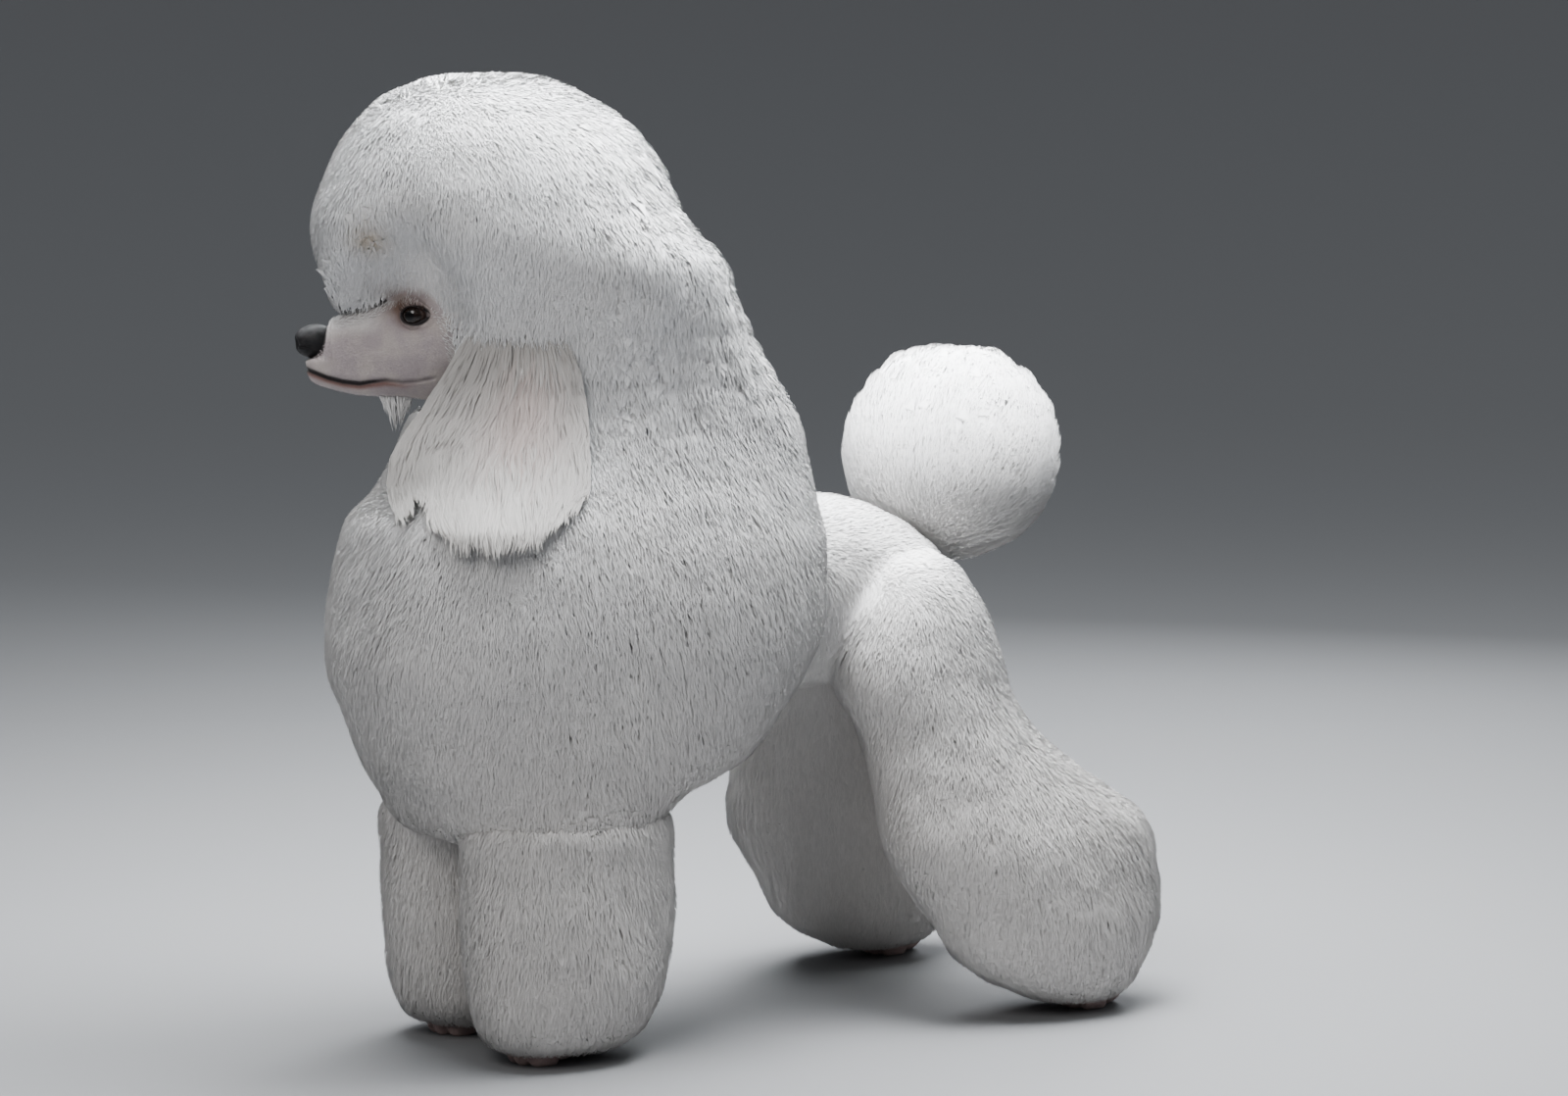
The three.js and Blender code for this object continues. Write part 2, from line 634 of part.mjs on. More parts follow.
// Head: clipped face with lids over the eye sockets, lips and the line of the mouth
function buildHead() {
  let head = headSolid(0);
  for (const side of [-1, 1]) {
    const lid = EYE.radius + EYE.lid;
    head = head.add(headEllipsoid(EYE.forward, side * EYE.side, EYE.up, [lid, lid, lid], 8, 6));
    head = head.add(mouthCord(side, LIPS));
  }
  for (const side of [-1, 1]) {
    const socket = EYE.radius + JOINT_GAP;
    head = head.subtract(headEllipsoid(EYE.forward, side * EYE.side, EYE.up, [socket, socket, socket], 10, 6));
    head = head.subtract(lidOpening(side)).subtract(mouthCord(side, MOUTH_GROOVE));
  }
  const nose = headEllipsoid(NOSE.forward, 0, NOSE.up, [NOSE.length + 0.3, NOSE.width + 0.3, NOSE.height + 0.3], 10, 6);
  return head.subtract(nose);
}

// Nose with a nostril on each side
function buildNose() {
  let nose = headEllipsoid(NOSE.forward, 0, NOSE.up, [NOSE.length, NOSE.width, NOSE.height], 10, 6);
  for (const side of [-1, 1]) {
    const radii = [NOSTRIL.length, NOSTRIL.width, NOSTRIL.height];
    nose = nose.subtract(headEllipsoid(NOSTRIL.forward, side * NOSTRIL.left, NOSTRIL.up, radii, 6, 4));
  }
  return nose;
}

const buildEye = (side) =>
  headEllipsoid(EYE.forward, side * EYE.side, EYE.up, [EYE.radius, EYE.radius, EYE.radius], 10, 6);

// Height and forward place in the head's frame
function inHeadFrame(point) {
  const offset = point.clone().sub(HEAD_ORIGIN);
  return [offset.dot(headForward), offset.dot(headLeft), offset.z];
}

// Places where the coat leaves the clipped face, the ears or the loin free
function maneGrows(tip) {
  const [forward, left, up] = inHeadFrame(tip);
  const inFace = forward > -50 && up > -96 && up < 2;
  const ear = EAR_ROWS.findIndex((row) => row[0] < up);
  const inEar = ear > 0 && forward < EAR_ROWS[ear][1] - 20 && forward > EAR_ROWS[ear][2] + 20 && Math.abs(left) > 60;
  const onLoin = tip.x > 320 && Math.abs(tip.y) < 90 && tip.z > 370 && tip.z < 560;
  return !inFace && !inEar && !onLoin;
}

// Coat of chest, neck and topknot in one piece, before it is parted
function buildMane() {
  const core = sweep(maneCorePoint, MANE_ROWS.length, 0.5, 14);
  const clumps = clumpCoat(manePoint, maneCorePoint, 2.2, MANE_ROWS.length - 1.2, MANE_CLUMP, maneGrows);
  let mane = joinAll([core, ...clumps]);
  mane = mane.subtract(faceSpace()).subtract(headSolid(JOINT_GAP)).subtract(trunkSolid(JOINT_GAP));
  for (const side of [-1, 1]) mane = mane.subtract(earSpace(side, 5));
  return mane;
}

THREE.MathUtils.seededRandom(COAT_SEED);
const mane = buildMane();
const half = JOINT_GAP / 2;
const ACROSS = new THREE.Vector3(1, 0, 0);
const legSides = { left: -1, right: 1 };
const nodes = [];

function addNode(name, solid, finish) {
  nodes.push([name, largest(solid), finish]);
}

const head = buildHead();
addNode("head", head, CLIPPED_WHITE);
addNode("nose", buildNose(), NOSE_BLACK);
addNode("topknot", mane.intersect(between(2, NECK_TOPKNOT_CUT + half, FAR)), COAT_WHITE);
addNode("neck", mane.intersect(between(2, CHEST_NECK_CUT + half, NECK_TOPKNOT_CUT - half)), COAT_WHITE);
addNode("chest", mane.intersect(between(2, LEG_TOP + half, CHEST_NECK_CUT - half)), COAT_WHITE);

const trunk = trunkSolid(0);
addNode("loin", trunk.intersect(between(0, -FAR, LOIN_RUMP_CUT - half)), CLIPPED_WHITE);
addNode("rump", trunk.intersect(between(0, LOIN_RUMP_CUT + half, FAR)), CLIPPED_WHITE);

const tailBase = (grow) => bar(TAIL_ROOT, TAIL_END, TAIL_RADIUS + grow, TAIL_RADIUS * 0.85 + grow);
addNode("tail_base", tailBase(0).subtract(trunkSolid(JOINT_GAP)), CLIPPED_WHITE);
const pomCentre = new THREE.Vector3(POM.x, POM.y, POM.z);
const pomPoint = (t, angle) =>
  new THREE.Vector3()
    .setFromSphericalCoords(POM.radius, Math.PI - t, angle)
    .applyAxisAngle(ACROSS, Math.PI / 2)
    .add(pomCentre);
const pomCore = (t, angle) => pomPoint(t, angle).sub(pomCentre).multiplyScalar(POM.core / POM.radius).add(pomCentre);
let pom = joinAll([
  ellipsoid(pomCentre, [POM.core, POM.core, POM.core], 10, 6),
  ...clumpCoat(pomPoint, pomCore, 0.12, Math.PI - 0.1, POM_CLUMP),
]);
pom = pom.subtract(tailBase(JOINT_GAP)).subtract(trunkSolid(JOINT_GAP));
for (const [name, side] of Object.entries(legSides)) {
  const hindPoint = (t, angle, grow) => legPoint(HIND_ROWS, side, HIND_SHIFT[name], t, angle, grow);
  pom = pom.subtract(sweep(hindPoint, HIND_ROWS.length, 1, 20, JOINT_GAP));
}
addNode("tail_pom", pom, COAT_WHITE);

for (const [name, side] of Object.entries(legSides)) {
  addNode("ear_" + name, buildEar(-side).subtract(headSolid(JOINT_GAP)), COAT_WHITE);
  addNode("eye_" + name, buildEye(-side), EYE_BROWN);
  const forePoint = (t, angle, grow) => legPoint(FORE_ROWS, side, [0, 0], t, angle, grow);
  const foreCore = (t, angle) => coreOfLeg(FORE_ROWS, side, [0, 0], FORE_CLUMP.core, t, angle);
  const foreClumps = clumpCoat(forePoint, foreCore, 2.1, FORE_ROWS.length - 2.2, FORE_CLUMP);
  const foreCoat = joinAll([sweep(foreCore, FORE_ROWS.length, 0.5, 10), ...foreClumps])
    .intersect(side < 0 ? between(1, -FAR, -half) : between(1, half, FAR))
    .intersect(between(2, 0, LEG_TOP - half))
    .subtract(footSpace(FORE_FOOT, side, [0, 0]));
  addNode("foreleg_" + name, foreCoat, COAT_WHITE);
  addNode("forefoot_" + name, foot(FORE_FOOT, side, [0, 0]), CLIPPED_WHITE);
  const shift = HIND_SHIFT[name];
  const hindPoint = (t, angle, grow) => legPoint(HIND_ROWS, side, shift, t, angle, grow);
  const hindCore = (t, angle) => coreOfLeg(HIND_ROWS, side, shift, HIND_CLUMP.core, t, angle);
  const hindClumps = clumpCoat(hindPoint, hindCore, 2.1, 11.6, HIND_CLUMP);
  const hindCoat = sweep(hindPoint, HIND_ROWS.length, 1, 20);
  const thigh = hindCoat.intersect(between(2, THIGH_CUT + half, FAR)).subtract(trunkSolid(JOINT_GAP));
  addNode("thigh_" + name, thigh, CLIPPED_WHITE);
  const lower = joinAll([sweep(hindCore, HIND_ROWS.length, 0.5, 10), ...hindClumps])
    .intersect(between(2, 0, THIGH_CUT - half)).subtract(footSpace(HIND_FOOT, side, shift));
  addNode("hindleg_" + name, lower, COAT_WHITE);
  addNode("hindfoot_" + name, foot(HIND_FOOT, side, shift), CLIPPED_WHITE);
}

// Each solid as a named mesh, with the origin on the floor under the middle of the model
const poodle = new THREE.Group();
for (const [name, solid, finish] of nodes) {
  const { vertProperties, triVerts } = solid.getMesh();
  const geometry = new THREE.BufferGeometry();
  geometry.setAttribute("position", new THREE.BufferAttribute(new Float32Array(vertProperties), 3));
  geometry.setIndex(new THREE.BufferAttribute(new Uint32Array(triVerts), 1));
  geometry.computeVertexNormals();
  const mesh = new THREE.Mesh(geometry, new THREE.MeshStandardMaterial(finish));
  mesh.name = name;
  poodle.add(mesh);
}
const bounds = new THREE.Box3().setFromObject(poodle);
poodle.position.set(-(bounds.min.x + bounds.max.x) / 2, -(bounds.min.y + bounds.max.y) / 2, 0);

export default poodle;
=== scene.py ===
import bpy
import bmesh
import math
import numpy as np
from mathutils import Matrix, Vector


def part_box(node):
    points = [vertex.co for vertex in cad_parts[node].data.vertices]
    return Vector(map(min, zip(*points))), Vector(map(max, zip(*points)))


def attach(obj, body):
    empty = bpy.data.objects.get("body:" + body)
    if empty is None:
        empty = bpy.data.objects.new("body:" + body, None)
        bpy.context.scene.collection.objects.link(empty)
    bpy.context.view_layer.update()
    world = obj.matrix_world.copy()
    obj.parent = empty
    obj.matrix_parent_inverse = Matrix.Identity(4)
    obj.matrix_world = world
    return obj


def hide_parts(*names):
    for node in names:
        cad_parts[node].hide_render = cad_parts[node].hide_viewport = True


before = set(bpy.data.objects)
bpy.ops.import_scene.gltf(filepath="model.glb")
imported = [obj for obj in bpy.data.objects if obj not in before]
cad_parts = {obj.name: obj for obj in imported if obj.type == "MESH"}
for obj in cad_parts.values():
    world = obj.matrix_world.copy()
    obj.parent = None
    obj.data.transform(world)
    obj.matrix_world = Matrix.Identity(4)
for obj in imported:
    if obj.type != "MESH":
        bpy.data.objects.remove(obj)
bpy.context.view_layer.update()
rng = np.random.default_rng(41)
print("frame loaded")

# Lengths are metres. The tables below are in millimetres in the dog's own frame: it faces -X, its left is -Y.
mm = 0.001
head = dict(turn=math.radians(33.5), origin=(-66, 70, 777), eye=(1, 40, 1))
headForward = np.array([-math.cos(head["turn"]), math.sin(head["turn"]), 0.0])
headLeft = np.array([-math.sin(head["turn"]), -math.cos(head["turn"]), 0.0])
upward = np.array([0.0, 0.0, 1.0])
backward = np.array([1.0, 0.0, 0.0])


def headVector(forward, left, up):
    # direction in the head's own frame, turned into the dog's frame
    forward, left, up = np.broadcast_arrays(forward, left, up)
    return forward[..., None] * headForward + left[..., None] * headLeft + up[..., None] * upward


def headPoint(forward, left, up):
    # place in the head's own frame to the dog's frame, millimetres
    return np.array(head["origin"]) + headVector(forward, left, up)


eyeLow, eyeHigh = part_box("eye_left")
shift = headPoint(*head["eye"]) - np.array((eyeLow + eyeHigh) / 2) / mm
shift[2] = 0.0


def place(points):
    # dog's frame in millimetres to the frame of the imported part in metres
    return (points - shift) * mm


def inDogFrame(points):
    # the other way round: the part's frame in metres to the dog's frame in millimetres
    return points / mm + shift


def inHeadFrame(points):
    # forward, left and up of points that are in the part's frame, millimetres
    offset = points / mm + shift - np.array(head["origin"])
    return offset @ headForward, offset @ headLeft, offset[..., 2]


# Slices of the coat from the chest up to the topknot: height, centre x, centre y, reach to the front,
# reach to the rear, half width, turn 0 to 1, squareness, and the share of the reach that the skin takes
maneRows = np.array([
    [226, 18, 0, 40, 40, 50, 0, 2.2, 0.82],
    [229, 18, 0, 108, 96, 142, 0, 2.4, 0.82],
    [246, 18, 0, 131, 118, 168, 0, 2.4, 0.82],
    [271, 22, 0, 150, 156, 171, 0, 2.4, 0.82],
    [301, 35, 0, 182, 222, 174, 0, 2.5, 0.82],
    [350, 50, 0, 216, 256, 180, 0, 2.6, 0.82],
    [402, 60, 0, 246, 280, 185, 0, 2.7, 0.82],
    [443, 65, 0, 254, 290, 187, 0, 2.7, 0.82],
    [488, 70, 0, 252, 290, 185, 0, 2.7, 0.82],
    [528, 75, 0, 249, 287, 180, 0, 2.7, 0.82],
    [567, 82, 0, 246, 271, 171, 0, 2.6, 0.82],
    [608, 95, 0, 218, 250, 157, 0.05, 2.5, 0.82],
    [650, 100, 0, 205, 240, 146, 0.15, 2.3, 0.82],
    [700, 96, 4, 176, 212, 145, 0.35, 2.2, 0.86],
    [745, 72, 8, 160, 206, 151, 0.6, 2.1, 0.86],
    [768, 58, 9, 208, 208, 155, 0.74, 2.1, 0.9],
    [785, 46, 10, 220, 210, 159, 0.85, 2.1, 0.9],
    [830, 23, 11, 215, 215, 164, 1, 2, 0.9],
    [875, 4, 23, 199, 199, 165, 1, 2, 0.9],
    [924, 0, 26, 180, 180, 153, 1, 2, 0.9],
    [965, -2, 27, 156, 156, 132, 1, 2, 0.9],
    [996, -4, 28, 124, 120, 102, 1, 2, 0.9],
    [1018, -6, 28, 84, 80, 68, 1, 2, 0.9],
    [1030, -8, 28, 38, 36, 30, 1, 2, 0.9],
])
topknotBase = 785

# Side view of the clipped face, which the coat leaves free: forward and up in the head's frame
faceOpening = np.array([
    [170, -7], [94, -7], [72, -2], [56, 2], [44, 8], [30, 15], [14, 21], [-8, 22], [-22, 13], [-31, -4],
    [-38, -28], [-46, -60], [-34, -92], [-10, -106], [20, -110], [170, -112],
])

# Clipped head from occiput to lips: forward, top, bottom, half width, narrowing of the jaw, squareness
headRows = np.array([
    [-134, 8, -30, 10, 0, 2],
    [-128, 26, -48, 30, 0, 2],
    [-108, 44, -78, 50, 0.1, 2],
    [-75, 56, -92, 58, 0.15, 2.1],
    [-42, 57, -94, 59, 0.2, 2.2],
    [-18, 50, -92, 55, 0.25, 2.3],
    [2, 40, -89, 48, 0.3, 2.4],
    [20, 25, -87, 40, 0.32, 2.5],
    [36, 13, -86.5, 34, 0.32, 2.6],
    [56, 5, -86, 29.5, 0.3, 2.6],
    [78, -2.5, -83, 26.5, 0.28, 2.6],
    [97, -10, -78, 24, 0.25, 2.4],
    [110, -19, -73.5, 20, 0.2, 2.2],
    [117, -27, -67, 14, 0.15, 2.1],
    [120, -34, -56, 6, 0.1, 2],
])

# Hanging ears in the head's frame: up, front edge, rear edge, least distance from the middle
earRows = np.array([
    [12, -70, -124, 58],
    [-4, -60, -144, 62],
    [-30, -48, -163, 68],
    [-60, -32, -173, 82],
    [-90, -12, -178, 96],
    [-118, 7, -180, 108],
    [-143, 21, -181, 116],
    [-170, 24, -181, 122],
    [-200, 18, -176, 128],
    [-222, 6, -170, 134],
    [-246, -4, -162, 138],
])

# Loin and rump along the back: x, top, bottom, half width
trunkRows = np.array([
    [296, 470, 450, 10],
    [298, 560, 372, 84],
    [330, 571, 356, 97],
    [370, 572, 354, 98],
    [410, 569, 362, 101],
    [445, 559, 366, 106],
    [480, 541, 366, 108],
    [512, 516, 368, 102],
    [540, 484, 374, 84],
    [560, 448, 384, 52],
    [567, 426, 408, 14],
])

# Hind leg by height: height, x, distance from the middle, half length, half width, share that the skin takes
hindRows = np.array([
    [8, 604, 184, 30, 26, 0.78],
    [10, 604, 184, 50, 42, 0.78],
    [22, 601, 182, 76, 60, 0.78],
    [45, 592, 178, 106, 76, 0.78],
    [70, 587, 173, 128, 86, 0.78],
    [102, 584, 167, 145, 92, 0.78],
    [143, 572, 158, 160, 96, 0.78],
    [176, 564, 151, 170, 97, 0.78],
    [203, 556, 145, 170, 95, 0.79],
    [228, 543, 138, 158, 92, 0.84],
    [257, 519, 130, 136, 88, 0.82],
    [309, 485, 116, 106, 82, 0.8],
    [357, 462, 103, 104, 82, 0.86],
    [400, 458, 92, 100, 84, 0.9],
    [449, 459, 81, 83, 80, 0.92],
    [490, 462, 70, 58, 62, 0.92],
    [512, 464, 62, 26, 30, 0.9],
])
hindShift = {-1: (0, 0), 1: (-18, -12)}

# Front leg by height: height, x, distance from the middle, half length, half width, share that the skin takes
foreRows = np.array([
    [7, 6, 86, 30, 26, 0.78],
    [9, 6, 86, 56, 44, 0.78],
    [22, 9, 86, 84, 66, 0.78],
    [45, 13, 86, 102, 79, 0.78],
    [75, 16, 86, 113, 84.5, 0.78],
    [110, 18, 86, 119, 85.6, 0.78],
    [160, 18, 86, 122, 85.6, 0.78],
    [200, 18, 86, 121, 85.4, 0.78],
    [244, 18, 86, 122, 85.6, 0.78],
    [260, 18, 86, 102, 72, 0.78],
    [264, 18, 86, 30, 22, 0.78],
])

tail = dict(root=(494, 2, 498), end=(590, 8, 604), radius=17, pom=(586, 20, 602), pomRadius=123, pomCore=92)


def between(rows, at, column):
    # value in one column of a table, straight between its rows
    return np.interp(at, rows[:, 0], rows[:, column])


def blendRows(rows, t):
    # value between the rows of a table, smooth through every row: the cubic of the two rows on each side
    t = np.asarray(t, float)
    last = len(rows) - 1
    i = np.clip(np.floor(t).astype(int), 0, last - 1)
    f = (t - i)[..., None]
    a, b, d, e = (rows[np.clip(i + k, 0, last)] for k in (-1, 0, 1, 2))
    return 0.5 * (2 * b + (d - a) * f + (2 * a - 5 * b + 4 * d - e) * f**2 + (3 * b - a - 3 * d + e) * f**3)


def roundedPair(angle, squareness):
    # cosine and sine raised so that a squareness of 2 is an ellipse and more is a rounded box
    c, s = np.cos(angle), np.sin(angle)
    return np.sign(c) * np.abs(c) ** (2 / squareness), np.sign(s) * np.abs(s) ** (2 / squareness)


def earEdges(up):
    # front edge, rear edge and inner distance of the hanging ear at a height
    return (between(earRows[::-1], up, column) for column in (1, 2, 3))


def softLeast(a, b, soft=0.0):
    # the smaller of two lengths, rounded where they meet, by a fifth of the second if no rounding is given
    soft = soft if soft else np.maximum(b * 0.2, 5.0)
    return -soft * np.logaddexp(-a / soft, -b / soft)


# The coat starts close to the head round the clipped face: forward, half width there, and the height of the
# face's upper edge
closeRows = np.array([
    [-112, 172, -30], [-70, 110, -20], [-44, 73, -6], [-31, 61, 0], [-20, 57, 13], [-6, 52, 21],
    [14, 37, 21], [30, 24, 15], [44, 18, 8], [56, 17, 2], [92, 14, -6],
])
closeCoat = dict(rise=0.45, flare=0.014, lowest=-100, drop=2.2)


def closeLimit(f, u):
    # half width that the coat keeps to near the face: from the edge of the face it rises steeply and then
    # flares, and it widens again below the jaw
    width, edge = (between(closeRows, f, column) for column in (1, 2))
    above = np.maximum(u - edge, 0)
    below = closeCoat["drop"] * np.maximum(closeCoat["lowest"] - u, 0)
    return width + closeCoat["rise"] * above + closeCoat["flare"] * above**2 + below


def facePinch(points, share):
    # the half width of the coat held under its limit near the face, rounded where the two meet
    f, l, u = inHeadFrame(points)
    narrowed = np.maximum(softLeast(np.abs(l), closeLimit(f, u) * share), 0)
    inward = np.sign(l) * (np.abs(l) - narrowed) * smoothStep(np.abs(l), 12, 34)
    return points - (inward * mm)[..., None] * headLeft


def maneSurface(t, angle, share=1.0):
    # chest, neck and topknot: rounded slices, each turned with the head and scaled by the share of its reach
    t, angle, share = np.broadcast_arrays(np.asarray(t, float), angle, share)
    z, x, y, front, rear, half, turn, square = np.moveaxis(blendRows(maneRows, t), -1, 0)[:8]
    c, s = roundedPair(angle, square)
    along = c * np.where(c > 0, rear, front) * share
    across = s * half * share
    yaw = turn * head["turn"]
    lowered = np.where(z > topknotBase, topknotBase + (z - topknotBase) * share, z)
    px = x + along * np.cos(yaw) + across * np.sin(yaw)
    py = y - along * np.sin(yaw) + across * np.cos(yaw)
    return facePinch(place(np.stack([px, py, lowered], -1)), share)


def maneLevel(points):
    # how far out of the mane's middle line a place lies, 1 on its surface, with the middle and the skin's
    # share there
    p = inDogFrame(points)
    x, y, front, rear, half, turn, square, share = (between(maneRows, p[:, 2], c) for c in range(1, 9))
    yaw = turn * head["turn"]
    dx, dy = p[:, 0] - x, p[:, 1] - y
    along = dx * np.cos(yaw) - dy * np.sin(yaw)
    across = dx * np.sin(yaw) + dy * np.cos(yaw)
    level = np.abs(along / np.where(along > 0, rear, front)) ** square + np.abs(across / half) ** square
    return level ** (1 / square), np.stack([x, y, p[:, 2]], -1), share


def coatLeft(f, u, side):
    # half width of the coat at a place seen from the side, found by halving, and held close near the face
    f, u = np.broadcast_arrays(np.asarray(f, float), u)
    low, high = np.zeros(f.shape), np.full(f.shape, 260.0)
    for halving in range(14):
        middle = (low + high) / 2
        level = maneLevel(place(headPoint(f, side * middle, u)).reshape(-1, 3))[0].reshape(f.shape)
        low, high = np.where(level < 1, middle, low), np.where(level < 1, high, middle)
    return softLeast(low, closeLimit(f, u))


def maneSkin(t, angle):
    # skin under the mane, lifted clear of the muzzle
    points = maneSurface(t, angle, blendRows(maneRows, t)[..., 8])
    f, _, u = inHeadFrame(points)
    lift = smoothStep(f, 5, 45) * smoothStep(u, -70, -30) * np.maximum(between(closeRows, f, 2) + 14 - u, 0)
    return points + (lift * mm)[..., None] * upward


def legSurface(rows, side, legShift, t, angle, share=1.0):
    # leg coat: rounded slices by height, scaled by the share of their reach
    t, angle, share = np.broadcast_arrays(np.asarray(t, float), angle, share)
    z, x, y, long, wide = np.moveaxis(blendRows(rows, t), -1, 0)[:5]
    c, s = roundedPair(angle, 2.1)
    px = x + legShift[0] + c * long * share
    py = side * (y + legShift[1]) + s * wide * share
    return place(np.stack([px, py, z], -1))


def trunkSurface(t, angle, grow=0.0):
    # loin and rump: rounded upright slices along the back
    x, top, bottom, half = np.moveaxis(blendRows(trunkRows, t), -1, 0)
    c, s = roundedPair(angle, 2.2)
    height = (top + bottom) / 2 + c * ((top - bottom) / 2 + grow)
    return place(np.stack([x + 0 * angle, -s * (half + grow), height], -1))


def headSurface(t, angle):
    # clipped head: rounded slices from occiput to lips, the jaw narrower than the skull
    forward, top, bottom, half, jaw, square = np.moveaxis(blendRows(headRows, t), -1, 0)
    c, s = roundedPair(angle, square)
    narrow = 1 - jaw * np.maximum(0, -c)
    rise = (top + bottom) / 2 + c * ((top - bottom) / 2)
    return place(headPoint(forward + 0 * angle, -s * half * narrow, rise))


def pomSurface(t, angle, share=1.0):
    # pompon: sphere by latitude t from the bottom and longitude
    t, angle = np.broadcast_arrays(t, angle)
    radius = tail["pomRadius"] * share
    flat = np.sin(t) * radius
    ring = np.stack([flat * np.cos(angle), flat * np.sin(angle), -np.cos(t) * radius], -1)
    return place(np.array(tail["pom"]) + ring)


def waves(points, wavelength, seed, count=12):
    # smooth irregularity of about unit size: a sum of plane waves of one wavelength in seeded directions
    draw = np.random.default_rng(seed)
    directions = draw.normal(size=(count, 3))
    directions *= 2 * math.pi / wavelength / np.linalg.norm(directions, axis=1, keepdims=True)
    return np.sin(points @ directions.T + draw.uniform(0, 2 * math.pi, count)).sum(-1) * math.sqrt(2 / count)


def smoothStep(value, low, high):
    # 0 below low, 1 above high, and between them three times the square of the share less twice its cube
    share = np.clip((value - low) / (high - low), 0, 1)
    return share * share * (3 - 2 * share)


def unit(v):
    # vectors divided by their own length
    return v / np.maximum(np.linalg.norm(v, axis=-1, keepdims=True), 1e-12)


def outwardOf(pointAt, t, angle):
    # outward direction: across product of small steps along both parameters
    e = 0.01
    along = pointAt(t + e, angle) - pointAt(t - e, angle)
    return unit(np.cross(pointAt(t, angle + e) - pointAt(t, angle - e), along))


def scatter(pointAt, tLow, tHigh, spacing):
    # places spread over a surface in rows one spacing apart, every other row set off by half a step, all
    # jittered
    lines = 300
    fine = np.linspace(tLow, tHigh, lines)
    angles = np.linspace(0, 2 * math.pi, 129)
    grid = pointAt(fine[:, None], angles[None, :])
    steps = np.linalg.norm(np.diff(grid, axis=1), axis=-1)
    lengths = np.concatenate([np.zeros((lines, 1)), np.cumsum(steps, 1)], 1)
    rise = np.concatenate([[0], np.cumsum(np.linalg.norm(np.diff(grid, axis=0), axis=-1).mean(1))])
    rowCount = max(2, int(rise[-1] / (spacing * 0.866)))
    at = np.interp((np.arange(rowCount) + 0.5) / rowCount * rise[-1], rise, np.arange(lines)).astype(int)
    counts = np.maximum(3, (lengths[at, -1] / spacing).astype(int))
    ts, turns = [], []
    for row, (i, count) in enumerate(zip(at, counts)):
        arc = (np.arange(count) + 0.5 * (row % 2) + rng.uniform(-0.35, 0.35, count)) / count * lengths[i, -1]
        turns.append(np.interp(arc, lengths[i], angles))
        ts.append(np.full(count, fine[i]))
    t = np.concatenate(ts)
    tStep = (tHigh - tLow) / rowCount
    return np.clip(t + rng.uniform(-0.5, 0.5, len(t)) * tStep, tLow, tHigh), np.concatenate(turns)


def meshObject(name, points, faces):
    # mesh from whole arrays: corners of each face follow one another
    mesh = bpy.data.meshes.new(name)
    mesh.vertices.add(len(points))
    mesh.vertices.foreach_set("co", np.ascontiguousarray(points, np.float32).ravel())
    sizes = faces.shape[1]
    mesh.loops.add(faces.size)
    mesh.loops.foreach_set("vertex_index", np.ascontiguousarray(faces, np.int32).ravel())
    mesh.polygons.add(len(faces))
    mesh.polygons.foreach_set("loop_start", np.arange(len(faces), dtype=np.int32) * sizes)
    mesh.polygons.foreach_set("use_smooth", np.full(len(faces), True))
    mesh.update(calc_edges=True)
    made = bpy.data.objects.new(name, mesh)
    bpy.context.collection.objects.link(made)
    return made


def addAttribute(made, name, values):
    # one number for every vertex
    layer = made.data.attributes.new(name, "FLOAT", "POINT")
    layer.data.foreach_set("value", np.ascontiguousarray(values, np.float32).ravel())


def vertexValues(made, what):
    # a vector of every vertex, its place or its normal, as one array
    values = np.empty(len(made.data.vertices) * 3, np.float32)
    made.data.vertices.foreach_get(what, values)
    return values.reshape(-1, 3)


def cornersOf(made):
    # vertex at every corner of every face
    corners = np.empty(len(made.data.loops), np.int32)
    made.data.loops.foreach_get("vertex_index", corners)
    return corners


def addMap(made, uv):
    # one uv per vertex, spread to the corners of the faces
    layer = made.data.uv_layers.new(name="OFBake")
    layer.data.foreach_set("uv", np.ascontiguousarray(uv[cornersOf(made)], np.float32).ravel())


